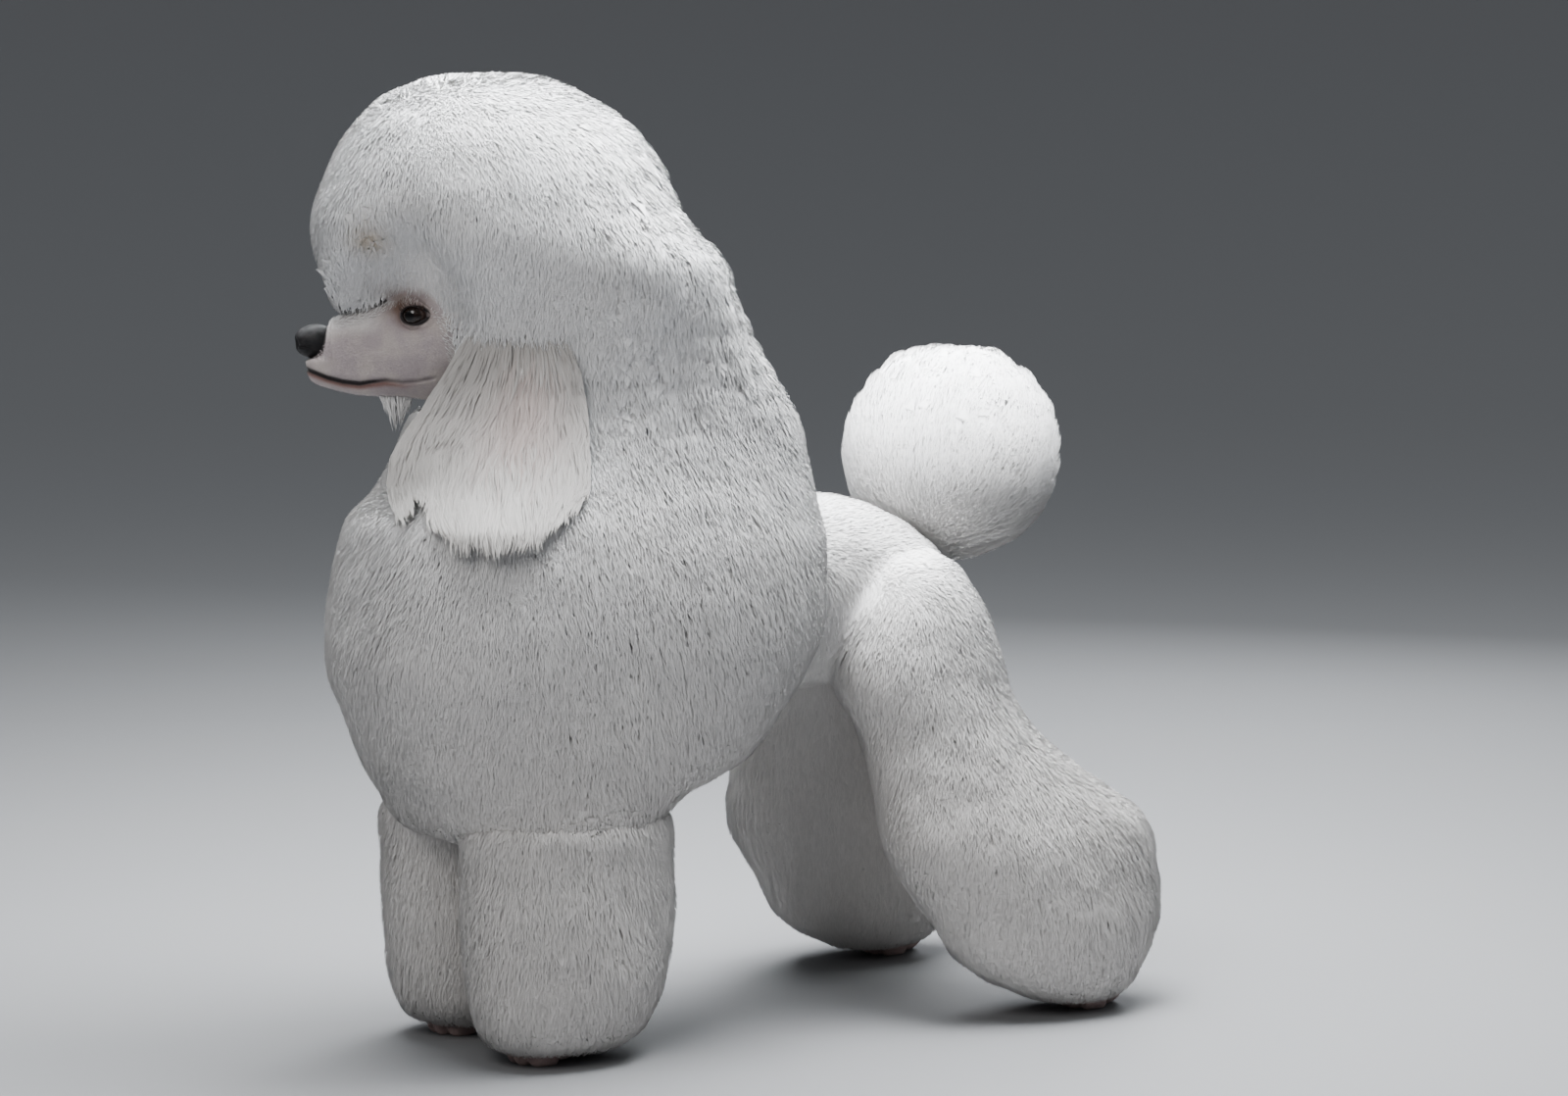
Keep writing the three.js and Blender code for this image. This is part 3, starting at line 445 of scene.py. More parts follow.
def hairMesh(name, paths, radii, flat, across, outward, uv, soften, tones):
    # tufts from the middle lines of shape (tuft, point, 3): at every point but the last stands a three-sided
    # ring of the given radius, as wide as across and flattened the other way, and the last point closes it;
    # normals are drawn towards outward by soften
    count, stops, _ = paths.shape
    rings = stops - 1
    along = unit(np.gradient(paths, axis=1))[:, :rings]
    side = unit(across[:, None] - along * (across[:, None] * along).sum(-1, keepdims=True))
    over = np.cross(along, side) * flat
    turn = 2 * math.pi * (np.arange(3) + 0.25) / 3
    spoke = side[:, :, None] * np.cos(turn)[:, None] + over[:, :, None] * np.sin(turn)[:, None]
    radius = np.broadcast_to(np.asarray(radii, float) * mm, (count, rings))[:, :, None, None]
    ring = paths[:, :rings, None] + spoke * radius
    points = np.concatenate([ring.reshape(count, rings * 3, 3), paths[:, -1:]], 1)
    per = rings * 3 + 1
    k = np.arange(3)
    low = (np.arange(rings - 1)[:, None] * 3 + k).ravel()
    near = (np.arange(rings - 1)[:, None] * 3 + (k + 1) % 3).ravel()
    top = (rings - 1) * 3
    base = np.concatenate([np.stack([low, near, near + 3], -1), np.stack([low, near + 3, low + 3], -1),
                           np.stack([top + k, top + (k + 1) % 3, np.full(3, per - 1)], -1)])
    faces = (np.arange(count)[:, None, None] * per + base[None]).reshape(-1, 3)
    made = meshObject(name, points.reshape(-1, 3), faces)
    # tones run from root to tip; the coat materials darken the roots by them as painted shade
    addAttribute(made, "tip", np.tile(np.append(np.repeat(tones[:-1], 3), tones[-1]), count))
    addAttribute(made, "pick", np.repeat(rng.uniform(0, 1, count), per))
    patch = rng.uniform(-0.0015, 0.0015, (1, per, 2))
    addMap(made, (uv[:, None, :] + patch).reshape(-1, 2))
    if soften > 0:
        own = vertexValues(made, "normal")
        if outward.ndim == 2:
            wide = np.repeat(outward, per, 0)
        else:
            wide = np.concatenate([np.repeat(outward[:, :rings], 3, 1), outward[:, -1:]], 1).reshape(-1, 3)
        made.data.normals_split_custom_set_from_vertices(unit(own * (1 - soften) + wide * soften))
    return made


def gridFaces(rows, columns):
    # quads between the rows of a grid whose last column joins its first
    i = np.arange(rows - 1)[:, None] * columns
    j = np.arange(columns)[None, :]
    k = (j + 1) % columns
    return np.stack([i + j, i + k, i + columns + k, i + columns + j], -1).reshape(-1, 4)


def closedLoft(pointAt, tLow, tHigh, rows, columns):
    # closed surface: the grid of both parameters, with each end drawn together in its middle
    t = np.linspace(tLow, tHigh, rows)[:, None]
    angle = np.linspace(0, 2 * math.pi, columns, endpoint=False)[None, :]
    grid = pointAt(t, angle)
    low, high = (np.repeat(grid[k].mean(0)[None, None], columns, 1) for k in (0, -1))
    grid = np.concatenate([low, grid, high])
    return grid.reshape(-1, 3), gridFaces(rows + 2, columns)


def joined(parts):
    # several meshes in one: the corners of each are counted on from the one before
    starts = np.cumsum([0] + [len(points) for points, _ in parts[:-1]])
    return np.concatenate([p for p, _ in parts]), np.concatenate([f + s for (_, f), s in zip(parts, starts)])


def meshArrays(made):
    # points and four-cornered faces of a mesh
    return vertexValues(made, "co"), cornersOf(made).reshape(-1, 4)


def weld(made, closed=False):
    # corners that share a place become one; closed also fills what stays open and turns the faces outwards
    work = bmesh.new()
    work.from_mesh(made.data)
    bmesh.ops.remove_doubles(work, verts=work.verts, dist=1e-6)
    if closed:
        bmesh.ops.holes_fill(work, edges=[e for e in work.edges if e.is_boundary])
        bmesh.ops.recalc_face_normals(work, faces=work.faces)
    work.to_mesh(made.data)
    work.free()


def fused(made, voxel, rounds):
    # one skin through all the closed shapes of a mesh, smoothed, with its modifiers applied
    remesh = made.modifiers.new("fuse", "REMESH")
    remesh.mode = "VOXEL"
    remesh.voxel_size = voxel
    ease = made.modifiers.new("ease", "SMOOTH")
    ease.factor = 0.5
    ease.iterations = rounds
    seen = made.evaluated_get(bpy.context.evaluated_depsgraph_get())
    settled = bpy.data.meshes.new_from_object(seen)
    made.modifiers.clear()
    made.data = settled


def tailBase(t, angle):
    # clipped root of the tail: a round rod from inside the rump to the pompon, thicker at its root
    t, angle = np.broadcast_arrays(t, angle)
    a, b = np.array(tail["root"], float), np.array(tail["end"], float)
    start = a + (a - b) * 0.25
    side = np.array([0.0, 1.0, 0.0])
    over = np.cross(side, unit(b - a))
    ring = np.cos(angle)[..., None] * side - np.sin(angle)[..., None] * over
    radius = tail["radius"] * (1 + 0.25 * (1 - t[..., None]) ** 2)
    return place(start + (b - start) * t[..., None] + ring * radius)


bodySkin = dict(voxel=11.0, ease=6, trunkIn=6)


def legCore(rows, side, legShift):
    # skin of a leg: its coat's surface scaled by the skin's share in the last column
    return lambda t, angle: legSurface(rows, side, legShift, t, angle, blendRows(rows, t)[..., 5])


pomShare = tail["pomCore"] / tail["pomRadius"]
shapes = [closedLoft(maneSkin, 0, len(maneRows) - 1, 90, 72),
          closedLoft(lambda t, a: trunkSurface(t, a, -bodySkin["trunkIn"]), 0.4, 9.8, 40, 56),
          closedLoft(tailBase, 0, 1, 12, 24),
          closedLoft(lambda t, a: pomSurface(t, a, pomShare), 0.02, math.pi - 0.02, 30, 40)]
for side in (-1, 1):
    shapes.append(closedLoft(legCore(hindRows, side, hindShift[side]), 0.5, 15.8, 60, 48))
    shapes.append(closedLoft(legCore(foreRows, side, (0, 0)), 0.5, 9.0, 40, 48))
body = meshObject("bodyForm", *joined(shapes))
weld(body)
fused(body, bodySkin["voxel"] * mm, bodySkin["ease"])
print("body skin", len(body.data.polygons), "faces")

# Clipped feet, which stand out below the leg coats
feet = dict(fore=dict(x=-10, y=86, length=84, width=54, height=38, pastern=19, top=96),
            hind=dict(x=634, y=186, length=80, width=50, height=36, pastern=17, top=96), voxel=2.4)


def ellipsoidAt(centre, radii):
    # ellipsoid by latitude t from its bottom and longitude
    def pointAt(t, angle):
        t, angle = np.broadcast_arrays(t, angle)
        ring = np.stack([np.sin(t) * np.cos(angle), np.sin(t) * np.sin(angle), -np.cos(t)], -1)
        return place(np.array(centre) + ring * np.array(radii))
    return closedLoft(pointAt, 0.05, math.pi - 0.05, 16, 24)


def rodAt(low, high, radiusLow, radiusHigh):
    # upright round rod that leans from one place to the other
    def pointAt(t, angle):
        t, angle = np.broadcast_arrays(t, angle)
        radius = (radiusLow + (radiusHigh - radiusLow) * t)[..., None]
        ring = np.stack([np.cos(angle), np.sin(angle), 0 * angle], -1)
        return place(np.array(low) + (np.array(high) - np.array(low)) * t[..., None] + ring * radius)
    return closedLoft(pointAt, 0, 1, 12, 24)


def toePlaces(size, side, legShift):
    # middle of the front of each toe, and how far it stands out from the foot's middle line
    x, y = size["x"] + legShift[0], side * (size["y"] + legShift[1])
    front, wide = x - size["length"] * 0.24, size["width"] / 4
    return [(front + (0 if toe in (1, 2) else 9), y + (toe - 1.5) * wide, toe - 1.5) for toe in range(4)]


def pawForm(size, side, legShift):
    # foot of four arched toes with their pads, a heel pad and the pastern that runs up into the coat
    x, y = size["x"] + legShift[0], side * (size["y"] + legShift[1])
    wide, high = size["width"] / 4, size["height"]
    parts = []
    for front, across, out in toePlaces(size, side, legShift):
        knuckle = (front - 8, across + out * 0.6, high * 0.28)
        parts.append(ellipsoidAt(knuckle, (14, wide * 0.56, high * 0.33)))
        parts.append(ellipsoidAt((front + 6, across, high * 0.50), (15, wide * 0.52, high * 0.44)))
        parts.append(ellipsoidAt((front + 2, across + out * 0.5, high * 0.12), (13, wide * 0.5, high * 0.2)))
    heel, shin, top = (x + size["length"] * share for share in (0.16, 0.14, 0.2))
    parts.append(ellipsoidAt((heel, y, high * 0.5), (27, size["width"] * 0.37, high * 0.56)))
    parts.append(rodAt((shin, y, high * 0.5), (top, y, size["top"] + 30), size["pastern"] * 1.1,
                       size["pastern"]))
    return parts


paws = []
for side in (-1, 1):
    paws += pawForm(feet["fore"], side, (0, 0)) + pawForm(feet["hind"], side, hindShift[side])
pawMesh = meshObject("pawForm", *joined(paws))
weld(pawMesh)
fused(pawMesh, feet["voxel"] * mm, 2)
pawPoints, pawFaces = meshArrays(pawMesh)
pawPoints[:, 2] = np.maximum(pawPoints[:, 2], 0)
bpy.data.objects.remove(pawMesh)
print("paws", len(pawFaces), "faces")


# Clipped head with its mouth, lids and the leather of the ears
face = dict(rows=190, columns=186, lipOut=1.5, lipLow=0.7, grooveDeep=2.8, grooveWide=1.6, chisel=3.0,
            cheek=3.0, brow=2.4, folds=3, foldDeep=0.7, socket=9)
mouthLine = np.array([[-22, -64.5], [-19, -65], [0, -69], [16, -71], [34, -68.5], [50, -70.5], [62, -72.5],
                      [80, -70.5], [96, -66.5], [110, -61], [121, -57]])
eye = dict(forward=1, side=40, up=1, radius=14, half=(13.5, 8.8), slant=0.1, lid=2.6, reach=(28, 23),
           gaze=(0.38, 0.92, -0.05), iris=0.82, pupil=0.36)
nose = dict(forward=111, up=-29, length=21, width=18, height=18, squareness=2.3)

fineT = np.linspace(0, len(headRows) - 1, 1500)
fineRows = blendRows(headRows, fineT)


def bell(value, width):
    # bell curve, 1 in the middle
    return np.exp(-0.5 * (value / width) ** 2)


def mouthUp(forward):
    # height of the mouth line
    return between(mouthLine, forward, 1)


def headRowAt(forward):
    # parameter of the head's surface at a distance forward
    return np.interp(forward, fineRows[:, 0], fineT)


def ovalAway(x, y, reach):
    # how far out a place lies in an oval, 1 on its edge
    return np.sqrt((x / reach[0]) ** 2 + (y / reach[1]) ** 2)


def noseAway(f, l, u):
    # how far out a place lies in the egg shape of the nose leather, 1 on its edge
    return np.sqrt(((f - nose["forward"]) / nose["length"]) ** 2 + (l / nose["width"]) ** 2
                   + ((u - nose["up"]) / nose["height"]) ** 2)


def ballLeft(f, u, lift):
    # how far the eyeball, made larger by lift, stands out at a place from its middle
    return eye["side"] + np.sqrt(np.maximum((eye["radius"] + lift) ** 2 - f**2 - u**2, 0))


def sculptOut(forward, up):
    # how far the side of the face stands out from the plain slices at a place seen from the side: lips and the
    # groove between them, a hollow before the eye, the cheek, the brow and soft folds behind the mouth
    away = up - mouthUp(forward)
    along = smoothStep(forward, -24, -12)
    upper = face["lipOut"] * bell(away - 5.5, 4.2) * smoothStep(forward, 0, 40)
    out = upper - face["grooveDeep"] * bell(away, face["grooveWide"]) * along
    out += face["lipLow"] * bell(away + 4.0, 2.6) * along
    out -= face["chisel"] * bell(forward - 30, 15) * bell(up + 16, 11)
    out += face["cheek"] * bell(forward + 34, 22) * bell(up + 42, 24)
    out += face["brow"] * bell(forward - 2, 18) * bell(up - 21, 6)
    for k in range(face["folds"]):
        slanted = (forward + 27 + 5 * k) + 0.35 * (up + 66)
        out -= face["foldDeep"] * bell(slanted, 1.5) * bell(up + 66 - 3 * k, 9)
    return out


def sideOf(forward, up):
    # half width of the head at a place seen from the side, with its sculpted forms
    _, top, bottom, half, jaw, square = np.moveaxis(blendRows(headRows, headRowAt(forward)), -1, 0)
    c = np.clip((up - (top + bottom) / 2) / ((top - bottom) / 2), -0.999, 0.999)
    narrow = 1 - jaw * np.maximum(0, -c)
    return half * narrow * (1 - np.abs(c) ** square) ** (1 / square) + sculptOut(forward, up)


def headGrid():
    # clipped head: rows close together over the face, columns close together along the mouth
    forward = np.concatenate([np.linspace(-134, -60, 24)[:-1], np.linspace(-60, 120, face["rows"])])
    t = headRowAt(forward)[:, None]
    turn = np.linspace(0, 2 * math.pi, 4000)
    density = 1 + 3.2 * (bell(turn - 2.2, 0.13) + bell(turn - 2 * math.pi + 2.2, 0.13))
    share = np.concatenate([[0], np.cumsum((density[1:] + density[:-1]) / 2)])
    angle = np.interp(np.arange(face["columns"]) / face["columns"] * share[-1], share, turn)[None]
    f, l, u = (v.copy() for v in inHeadFrame(headSurface(t, angle)))
    sideways = smoothStep(np.abs(l) / (np.abs(l).max(1, keepdims=True) + 1e-6), 0.25, 0.8)
    l += np.sign(l) * sculptOut(f, u) * sideways
    # the middle of the upper lip is parted below the nose, and the mouth meets in the middle under it
    front = smoothStep(f, 108, 118)
    parting = 1.6 * bell(l, 1.1) * smoothStep(-u, 44, 50)
    f -= front * (parting + 2.2 * bell(u - mouthUp(f), 1.4) * (np.abs(l) < 12))
    # the end of the muzzle goes in under the nose leather
    under = smoothStep(f, 90, 106) * smoothStep(u, -50, -43)
    l *= 1 - 0.36 * under
    u -= 7 * under * smoothStep(u, -34, -10)
    f -= 9 * smoothStep(f, 104, 118) * smoothStep(u, -50, -44)
    # the sockets lie deeper than the lids that cover them
    away = ovalAway(f - eye["forward"], u - eye["up"], (eye["reach"][0] - 5, eye["reach"][1] - 5))
    l -= np.sign(l) * face["socket"] * (1 - smoothStep(away, 0.55, 1.0)) * sideways
    points = place(headPoint(f, l, u))
    low, high = (np.repeat(points[k].mean(0)[None, None], face["columns"], 1) for k in (0, -1))
    points = np.concatenate([low, points, high])
    return points.reshape(-1, 3), gridFaces(len(points), face["columns"])


def lidOutline(theta):
    # almond of the opening, rounder in front and drawn to a point behind: forward and up from the middle
    along = np.cos(theta) * eye["half"][0]
    rise = np.sin(theta) * eye["half"][1] * (1 + 0.3 * np.cos(theta)) * np.where(np.sin(theta) > 0, 1.0, 0.92)
    rise = rise * np.abs(np.sin(theta)) ** 0.25
    return along, rise - along * eye["slant"] * 0.3


def lidLeft(f, u):
    # how far the lids and the skin round them stand out at a place from the eye's middle: the larger of the
    # ball that the lids cover and the side of the head, softly joined, with a fold above and below the eye
    ball = ballLeft(f, u, eye["lid"])
    flat = sideOf(eye["forward"] + f, eye["up"] + u) + 0.15
    both = (ball + flat + np.sqrt((ball - flat) ** 2 + 6.0)) / 2
    outer = smoothStep(ovalAway(f, u, eye["reach"]), 0.6, 0.98)
    size = ovalAway(f, u, eye["half"])
    upper = 1.4 * bell(size - 1.62, 0.13) * smoothStep(u, 1, 7)
    lower = 0.9 * bell(size - 1.75, 0.16) * smoothStep(-u, 2, 8)
    return both * (1 - outer) + flat * outer - (upper + lower) * (1 - outer)


def lids(side):
    # lids as rings from under the rim, over its edge, out on to the side of the head: each of the first rings
    # has its share of the opening and its lift over the ball
    theta = np.linspace(0, 2 * math.pi, 96, endpoint=False)[None]
    along, rise = lidOutline(theta)
    rings = np.array([[0.86, -1.2], [0.97, -0.2], [1.0, 0.35], [1.03, 1.1], [1.07, 1.7], [1.13, 2.2]])
    first = len(rings)
    outer = np.linspace(0, 1, 28)[:, None] ** 1.15
    edgeF, edgeU = np.cos(theta) * eye["reach"][0], np.sin(theta) * eye["reach"][1]
    f = np.concatenate([along * rings[:, :1], along * 1.2 + (edgeF - along * 1.2) * outer])
    u = np.concatenate([rise * rings[:, :1], rise * 1.2 + (edgeU - rise * 1.2) * outer])
    left = np.concatenate([ballLeft(f[:first], u[:first], rings[:, 1:]), lidLeft(f[first:], u[first:])])
    points = place(headPoint(eye["forward"] + f, side * left, eye["up"] + u))
    faces = gridFaces(len(f), f.shape[1])
    return points.reshape(-1, 3), faces if side > 0 else faces[:, ::-1]


ear = dict(top=6, bottom=-138, thickness=5, bulge=18, gap=3, rise=(-2, 100), rootIn=15, frontFrom=-70,
           frontIn=0.3)
earGrid = dict(f=np.linspace(-200, 40, 97), u=np.linspace(-262, 24, 115))
earReach = {side: coatLeft(earGrid["f"][:, None], earGrid["u"][None], side) for side in (-1, 1)}


def earReachAt(side, f, up):
    # reach of the coat under the ear, read between the four places of the grid round it
    fLine, uLine, grid = earGrid["f"], earGrid["u"], earReach[side]
    fAt = np.clip((f - fLine[0]) / (fLine[1] - fLine[0]), 0, len(fLine) - 1.001)
    uAt = np.clip((up - uLine[0]) / (uLine[1] - uLine[0]), 0, len(uLine) - 1.001)
    i, j = fAt.astype(int), uAt.astype(int)
    x, y = fAt - i, uAt - j
    low = grid[i, j] * (1 - x) + grid[i + 1, j] * x
    return low * (1 - y) + (grid[i, j + 1] * (1 - x) + grid[i + 1, j + 1] * x) * y


def earPoint(side, up, across, lift):
    # the ear hangs as a leaf over the coat: across runs between its edges, it comes out of the coat below its
    # root, bulges at its middle, and its front hangs free before the neck
    up, across, lift = np.broadcast_arrays(np.asarray(up, float), across, lift)
    front, rear, least = earEdges(up)
    f = (front + rear) / 2 + across * (front - rear) / 2
    free = least - ear["frontIn"] * np.maximum(f - ear["frontFrom"], 0)
    reach = -softLeast(-earReachAt(side, f, up), -free, 6.0)
    out = smoothStep(-up, *ear["rise"])
    bulge = ear["bulge"] * out * (1 - across**2)
    left = reach + ear["gap"] * out + bulge - ear["rootIn"] * (1 - out) ** 2 + lift
    return place(headPoint(f, side * left, up))


def earLeaf(side):
    # leather of the ear: rounded slices by height, thin across and closed at both ends
    def pointAt(t, angle):
        t, angle = np.broadcast_arrays(t, angle)
        up = ear["bottom"] + (ear["top"] - ear["bottom"]) * t
        c, s = roundedPair(-side * angle, 2.2)
        reach = np.sqrt(np.clip(1 - (1 - np.minimum(t / 0.35, 1)) ** 2, 0.02, 1))
        return earPoint(side, up, c * reach * 0.93, s * ear["thickness"] / 2)
    return closedLoft(pointAt, 0, 1, 40, 44)


def eyeStainAndBrowShade(points):
    # brown tear stain in front of and above each eye, and faintly round it, from 0 to 1; the faint spread over
    # the brow is partly painted shade under the topknot
    f, l, u = inHeadFrame(points)
    f, u = f - eye["forward"], u - eye["up"]
    near = bell(f - 26, 12) * bell(u - 10, 9) * 0.95 + bell(f - 12, 7) * bell(u + 6, 6) * 0.45
    # faint ring of stain round the eye, and a spread over the brow that is partly stain and partly painted
    # shade
    around = 0.3 * bell(np.sqrt(f**2 + (u * 1.2) ** 2) - 15, 6) + 0.25 * bell(f - 6, 20) * bell(u - 20, 9)
    return np.clip(near + around, 0, 1) * smoothStep(np.abs(l), 18, 34) * (1 - smoothStep(np.abs(l), 60, 80))


def darkSkin(points):
    # black pigment: the rims of the lids, the line of the lips and the edge of the nose
    f, l, u = inHeadFrame(points)
    away = u - mouthUp(f)
    lips = bell(away - 0.2, 2.0) * smoothStep(f, 22, 70) + 0.55 * bell(away, 1.8) * smoothStep(f, -24, -10)
    size = ovalAway(f - eye["forward"], u - eye["up"] + 0.03 * f, eye["half"])
    rim = (1 - smoothStep(size, 1.12, 1.34)) * smoothStep(np.abs(l), 20, 30)
    onNose = 1 - smoothStep(noseAway(f, l, u), 1.12, 1.34)
    return np.clip(np.maximum(np.maximum(lips, rim), onNose), 0, 1) * (f > -40)


def pinkSkin(points):
    # reddish lower lip, and pink at the toes
    f, l, u = inHeadFrame(points)
    away = u - mouthUp(f)
    lip = 0.95 * bell(away + 3.6, 2.2) * smoothStep(f, -10, 40)
    toes = 0.6 * (1 - smoothStep(points[:, 2] / mm, 12, 30))
    return np.clip(np.where(points[:, 2] < 0.2, toes, lip), 0, 1)


def bareSkin(points):
    # how closely the coat is clipped: 1 on the face, less on feet and croup, 0 under the long coat
    f, l, u = inHeadFrame(points)
    onFace = smoothStep(f, -60, -30) * (1 - 0.55 * smoothStep(u, -26, -6) * smoothStep(f, 30, 60))
    onFace = onFace * (1 - smoothStep(u - between(closeRows, f, 2), 3, 12))
    onFoot = 1 - smoothStep(points[:, 2] / mm, 60, 90)
    return np.clip(np.where(points[:, 2] < 0.2, onFoot, onFace * (points[:, 2] > 0.6)), 0, 1)


headForm = headGrid()
skinParts = [meshArrays(body), (pawPoints, pawFaces), headForm, lids(1), lids(-1), earLeaf(1), earLeaf(-1)]
skin = meshObject("skin", *joined(skinParts))
bpy.data.objects.remove(body)
weld(skin)
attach(skin, "root")
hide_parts("head", "neck", "loin", "rump", "tail_base", "thigh_left", "thigh_right", "chest", "topknot",
            "tail_pom", "hindleg_left", "hindleg_right", "foreleg_left", "foreleg_right", "forefoot_left",
            "forefoot_right", "hindfoot_left", "hindfoot_right", "ear_left", "ear_right")


def shaderOf(name):
    # new material with its node tree and shader; the functions below add nodes to such a tree
    material = bpy.data.materials.new(name)
    material.use_nodes = True
    return material, material.node_tree, material.node_tree.nodes["Principled BSDF"]


def feed(tree, node, values):
    # inputs of a node by name: a socket is linked to it, and a number or a colour becomes its own value
    for name, value in values.items():
        socket = node.inputs[name]
        if isinstance(value, bpy.types.NodeSocket):
            tree.links.new(value, socket)
        else:
            socket.default_value = (*value, 1) if socket.type == "RGBA" else value
    return node


def attributeOf(tree, name):
    # value that the mesh keeps for each vertex
    node = tree.nodes.new("ShaderNodeAttribute")
    node.attribute_name = name
    return node.outputs["Fac"]


def mixColour(tree, factor, first, second):
    # second laid over first by factor; either is a socket or a plain colour
    mix = tree.nodes.new("ShaderNodeMix")
    mix.data_type = "RGBA"
    return feed(tree, mix, {"Factor": factor, "A": first, "B": second}).outputs["Result"]


def mapRange(tree, value, fromLow, fromHigh, toLow=0.0, toHigh=1.0):
    # value taken from one range to another and held inside it
    limits = {"From Min": fromLow, "From Max": fromHigh, "To Min": toLow, "To Max": toHigh}
    return feed(tree, tree.nodes.new("ShaderNodeMapRange"), {"Value": value, **limits}).outputs["Result"]


def objectPlace(tree):
    # place in the part's own frame
    return tree.nodes.new("ShaderNodeTexCoord").outputs["Object"]


def noiseOf(tree, scale, detail, stretch=(1, 1, 1), at=None):
    # noise on Object coordinates, stretched along each axis, or on other coordinates
    at = objectPlace(tree) if at is None else at
    mapping = feed(tree, tree.nodes.new("ShaderNodeMapping"), {"Vector": at, "Scale": stretch})
    inputs = {"Scale": scale, "Detail": detail, "Vector": mapping.outputs["Vector"]}
    return feed(tree, tree.nodes.new("ShaderNodeTexNoise"), inputs).outputs["Fac"]


def shaded(tree, colour, amount):
    # colour made lighter or darker by an amount round 1
    shade = tree.nodes.new("ShaderNodeVectorMath")
    shade.operation = "SCALE"
    tree.links.new(colour, shade.inputs[0])
    tree.links.new(amount, shade.inputs["Scale"])
    return shade.outputs["Vector"]


def bumpOf(tree, height, strength, distance):
    # normal that a height gives
    inputs = {"Height": height, "Strength": strength, "Distance": distance}
    return feed(tree, tree.nodes.new("ShaderNodeBump"), inputs).outputs["Normal"]


clippedLook = dict(coat=(0.53, 0.47, 0.45), mauve=(0.44, 0.38, 0.39), white=(0.84, 0.82, 0.81),
                   stain=(0.14, 0.085, 0.065), dark=(0.018, 0.014, 0.015), pink=(0.27, 0.14, 0.12),
                   roughness=0.75, sheen=0.15, sheenRoughness=0.5, specular=0.25, bump=(0.35, 0.0008))


def makeClippedMaterial(look):
    # clipped skin: pinkish grey with mauve patches, stains and pigment, and the grain of very short hair
    material, tree, shader = shaderOf("clippedCoat")
    patches = mapRange(tree, noiseOf(tree, 45, 5), 0.38, 0.62)
    colour = mixColour(tree, patches, look["coat"], look["mauve"])
    colour = mixColour(tree, attributeOf(tree, "bare"), look["white"], colour)
    for marking in ("pink", "stain", "dark"):
        colour = mixColour(tree, attributeOf(tree, marking), colour, look[marking])
    grain = noiseOf(tree, 900, 2, (0.5, 0.5, 1.6))
    feed(tree, shader, {"Base Color": shaded(tree, colour, mapRange(tree, grain, 0.35, 0.7, 0.90, 1.06)),
                        "Normal": bumpOf(tree, grain, *look["bump"]), "Roughness": look["roughness"],
                        "Sheen Weight": look["sheen"], "Sheen Roughness": look["sheenRoughness"],
                        "Specular IOR Level": look["specular"]})
    return material


def addMarkings(made, points):
    # colours of the clipped parts, the same on skin and hair
    addAttribute(made, "stain", eyeStainAndBrowShade(points))
    addAttribute(made, "dark", darkSkin(points))
    addAttribute(made, "pink", pinkSkin(points))
    addAttribute(made, "bare", bareSkin(points))


clippedMaterial = makeClippedMaterial(clippedLook)
addMarkings(skin, vertexValues(skin, "co").astype(float))
skin.data.materials.append(clippedMaterial)
print("skin", len(skin.data.polygons), "faces")

# root is painted shade where the tufts shade one another near the skin; low, darker towards the floor, is
# partly painted shade and partly greyer lower hair
coatLook = dict(tip=(0.89, 0.888, 0.895), root=(0.70, 0.67, 0.65), warm=(0.84, 0.81, 0.78),
                low=(0.62, 0.59, 0.565), blush=(0.60, 0.50, 0.38), roughness=1.0, sheen=0.12,
                sheenRoughness=0.6, specular=0.06)


def makeCoatMaterial(name, look):
    # white brushed coat: painted shade darker towards the roots, where the tufts shade each other, and darker
    # down the legs, partly painted shade and partly greyer lower hair; slow warm patches; the brow's stain,
    # partly painted shade; and each tuft a little lighter or darker
    material, tree, shader = shaderOf(name)
    # painted shade: each tuft darker towards its root
    depth = mixColour(tree, attributeOf(tree, "tip"), look["root"], look["tip"])
    heights = feed(tree, tree.nodes.new("ShaderNodeSeparateXYZ"), {"Vector": objectPlace(tree)})
    # darker towards the floor: partly painted shade, partly greyer lower hair
    low = mapRange(tree, heights.outputs["Z"], 0.25, 0.80, 0.9, 0.0)
    colour = mixColour(tree, low, depth, look["low"])
    colour = mixColour(tree, mapRange(tree, noiseOf(tree, 7, 3), 0.45, 0.75, 0.0, 0.35), colour, look["warm"])
    stain = mapRange(tree, attributeOf(tree, "stain"), 0.0, 1.0, 0.0, 0.75)
    colour = mixColour(tree, stain, colour, clippedLook["stain"])
    colour = mixColour(tree, attributeOf(tree, "blush"), colour, look["blush"])
    each = mapRange(tree, attributeOf(tree, "pick"), 0.0, 1.0, 0.90, 1.04)
    feed(tree, shader, {"Base Color": shaded(tree, colour, each), "Roughness": look["roughness"],
                        "Sheen Weight": look["sheen"], "Sheen Roughness": look["sheenRoughness"],
                        "Specular IOR Level": look["specular"]})
    return material


coatMaterial = makeCoatMaterial("whiteCoat", coatLook)

# The long coat
under = dict(step=8.2, length=28.0, lean=1.25, radii=(5.4, 8.0), flat=0.34, sink=4.0,
             tones=(0.6, 0.9, 0.95), most=21000)
over = dict(step=3.55, length=16.0, lean=1.1, radii=(1.5,),
            flat=0.7, tones=(0.85, 1.0), most=64000)
coat = dict(soften=0.905, disorder=0.22)


def curved(roots, tips, outward, shape):
    # middle lines that leave the skin along outward and bend to their tips: quadratic curves
    length = np.linalg.norm(tips - roots, axis=1, keepdims=True)
    knee = roots + outward * length * shape["rise"]
    f = np.array(shape["stops"])[None, :, None]
    return roots[:, None] * (1 - f) ** 2 + knee[:, None] * 2 * f * (1 - f) + tips[:, None] * f**2


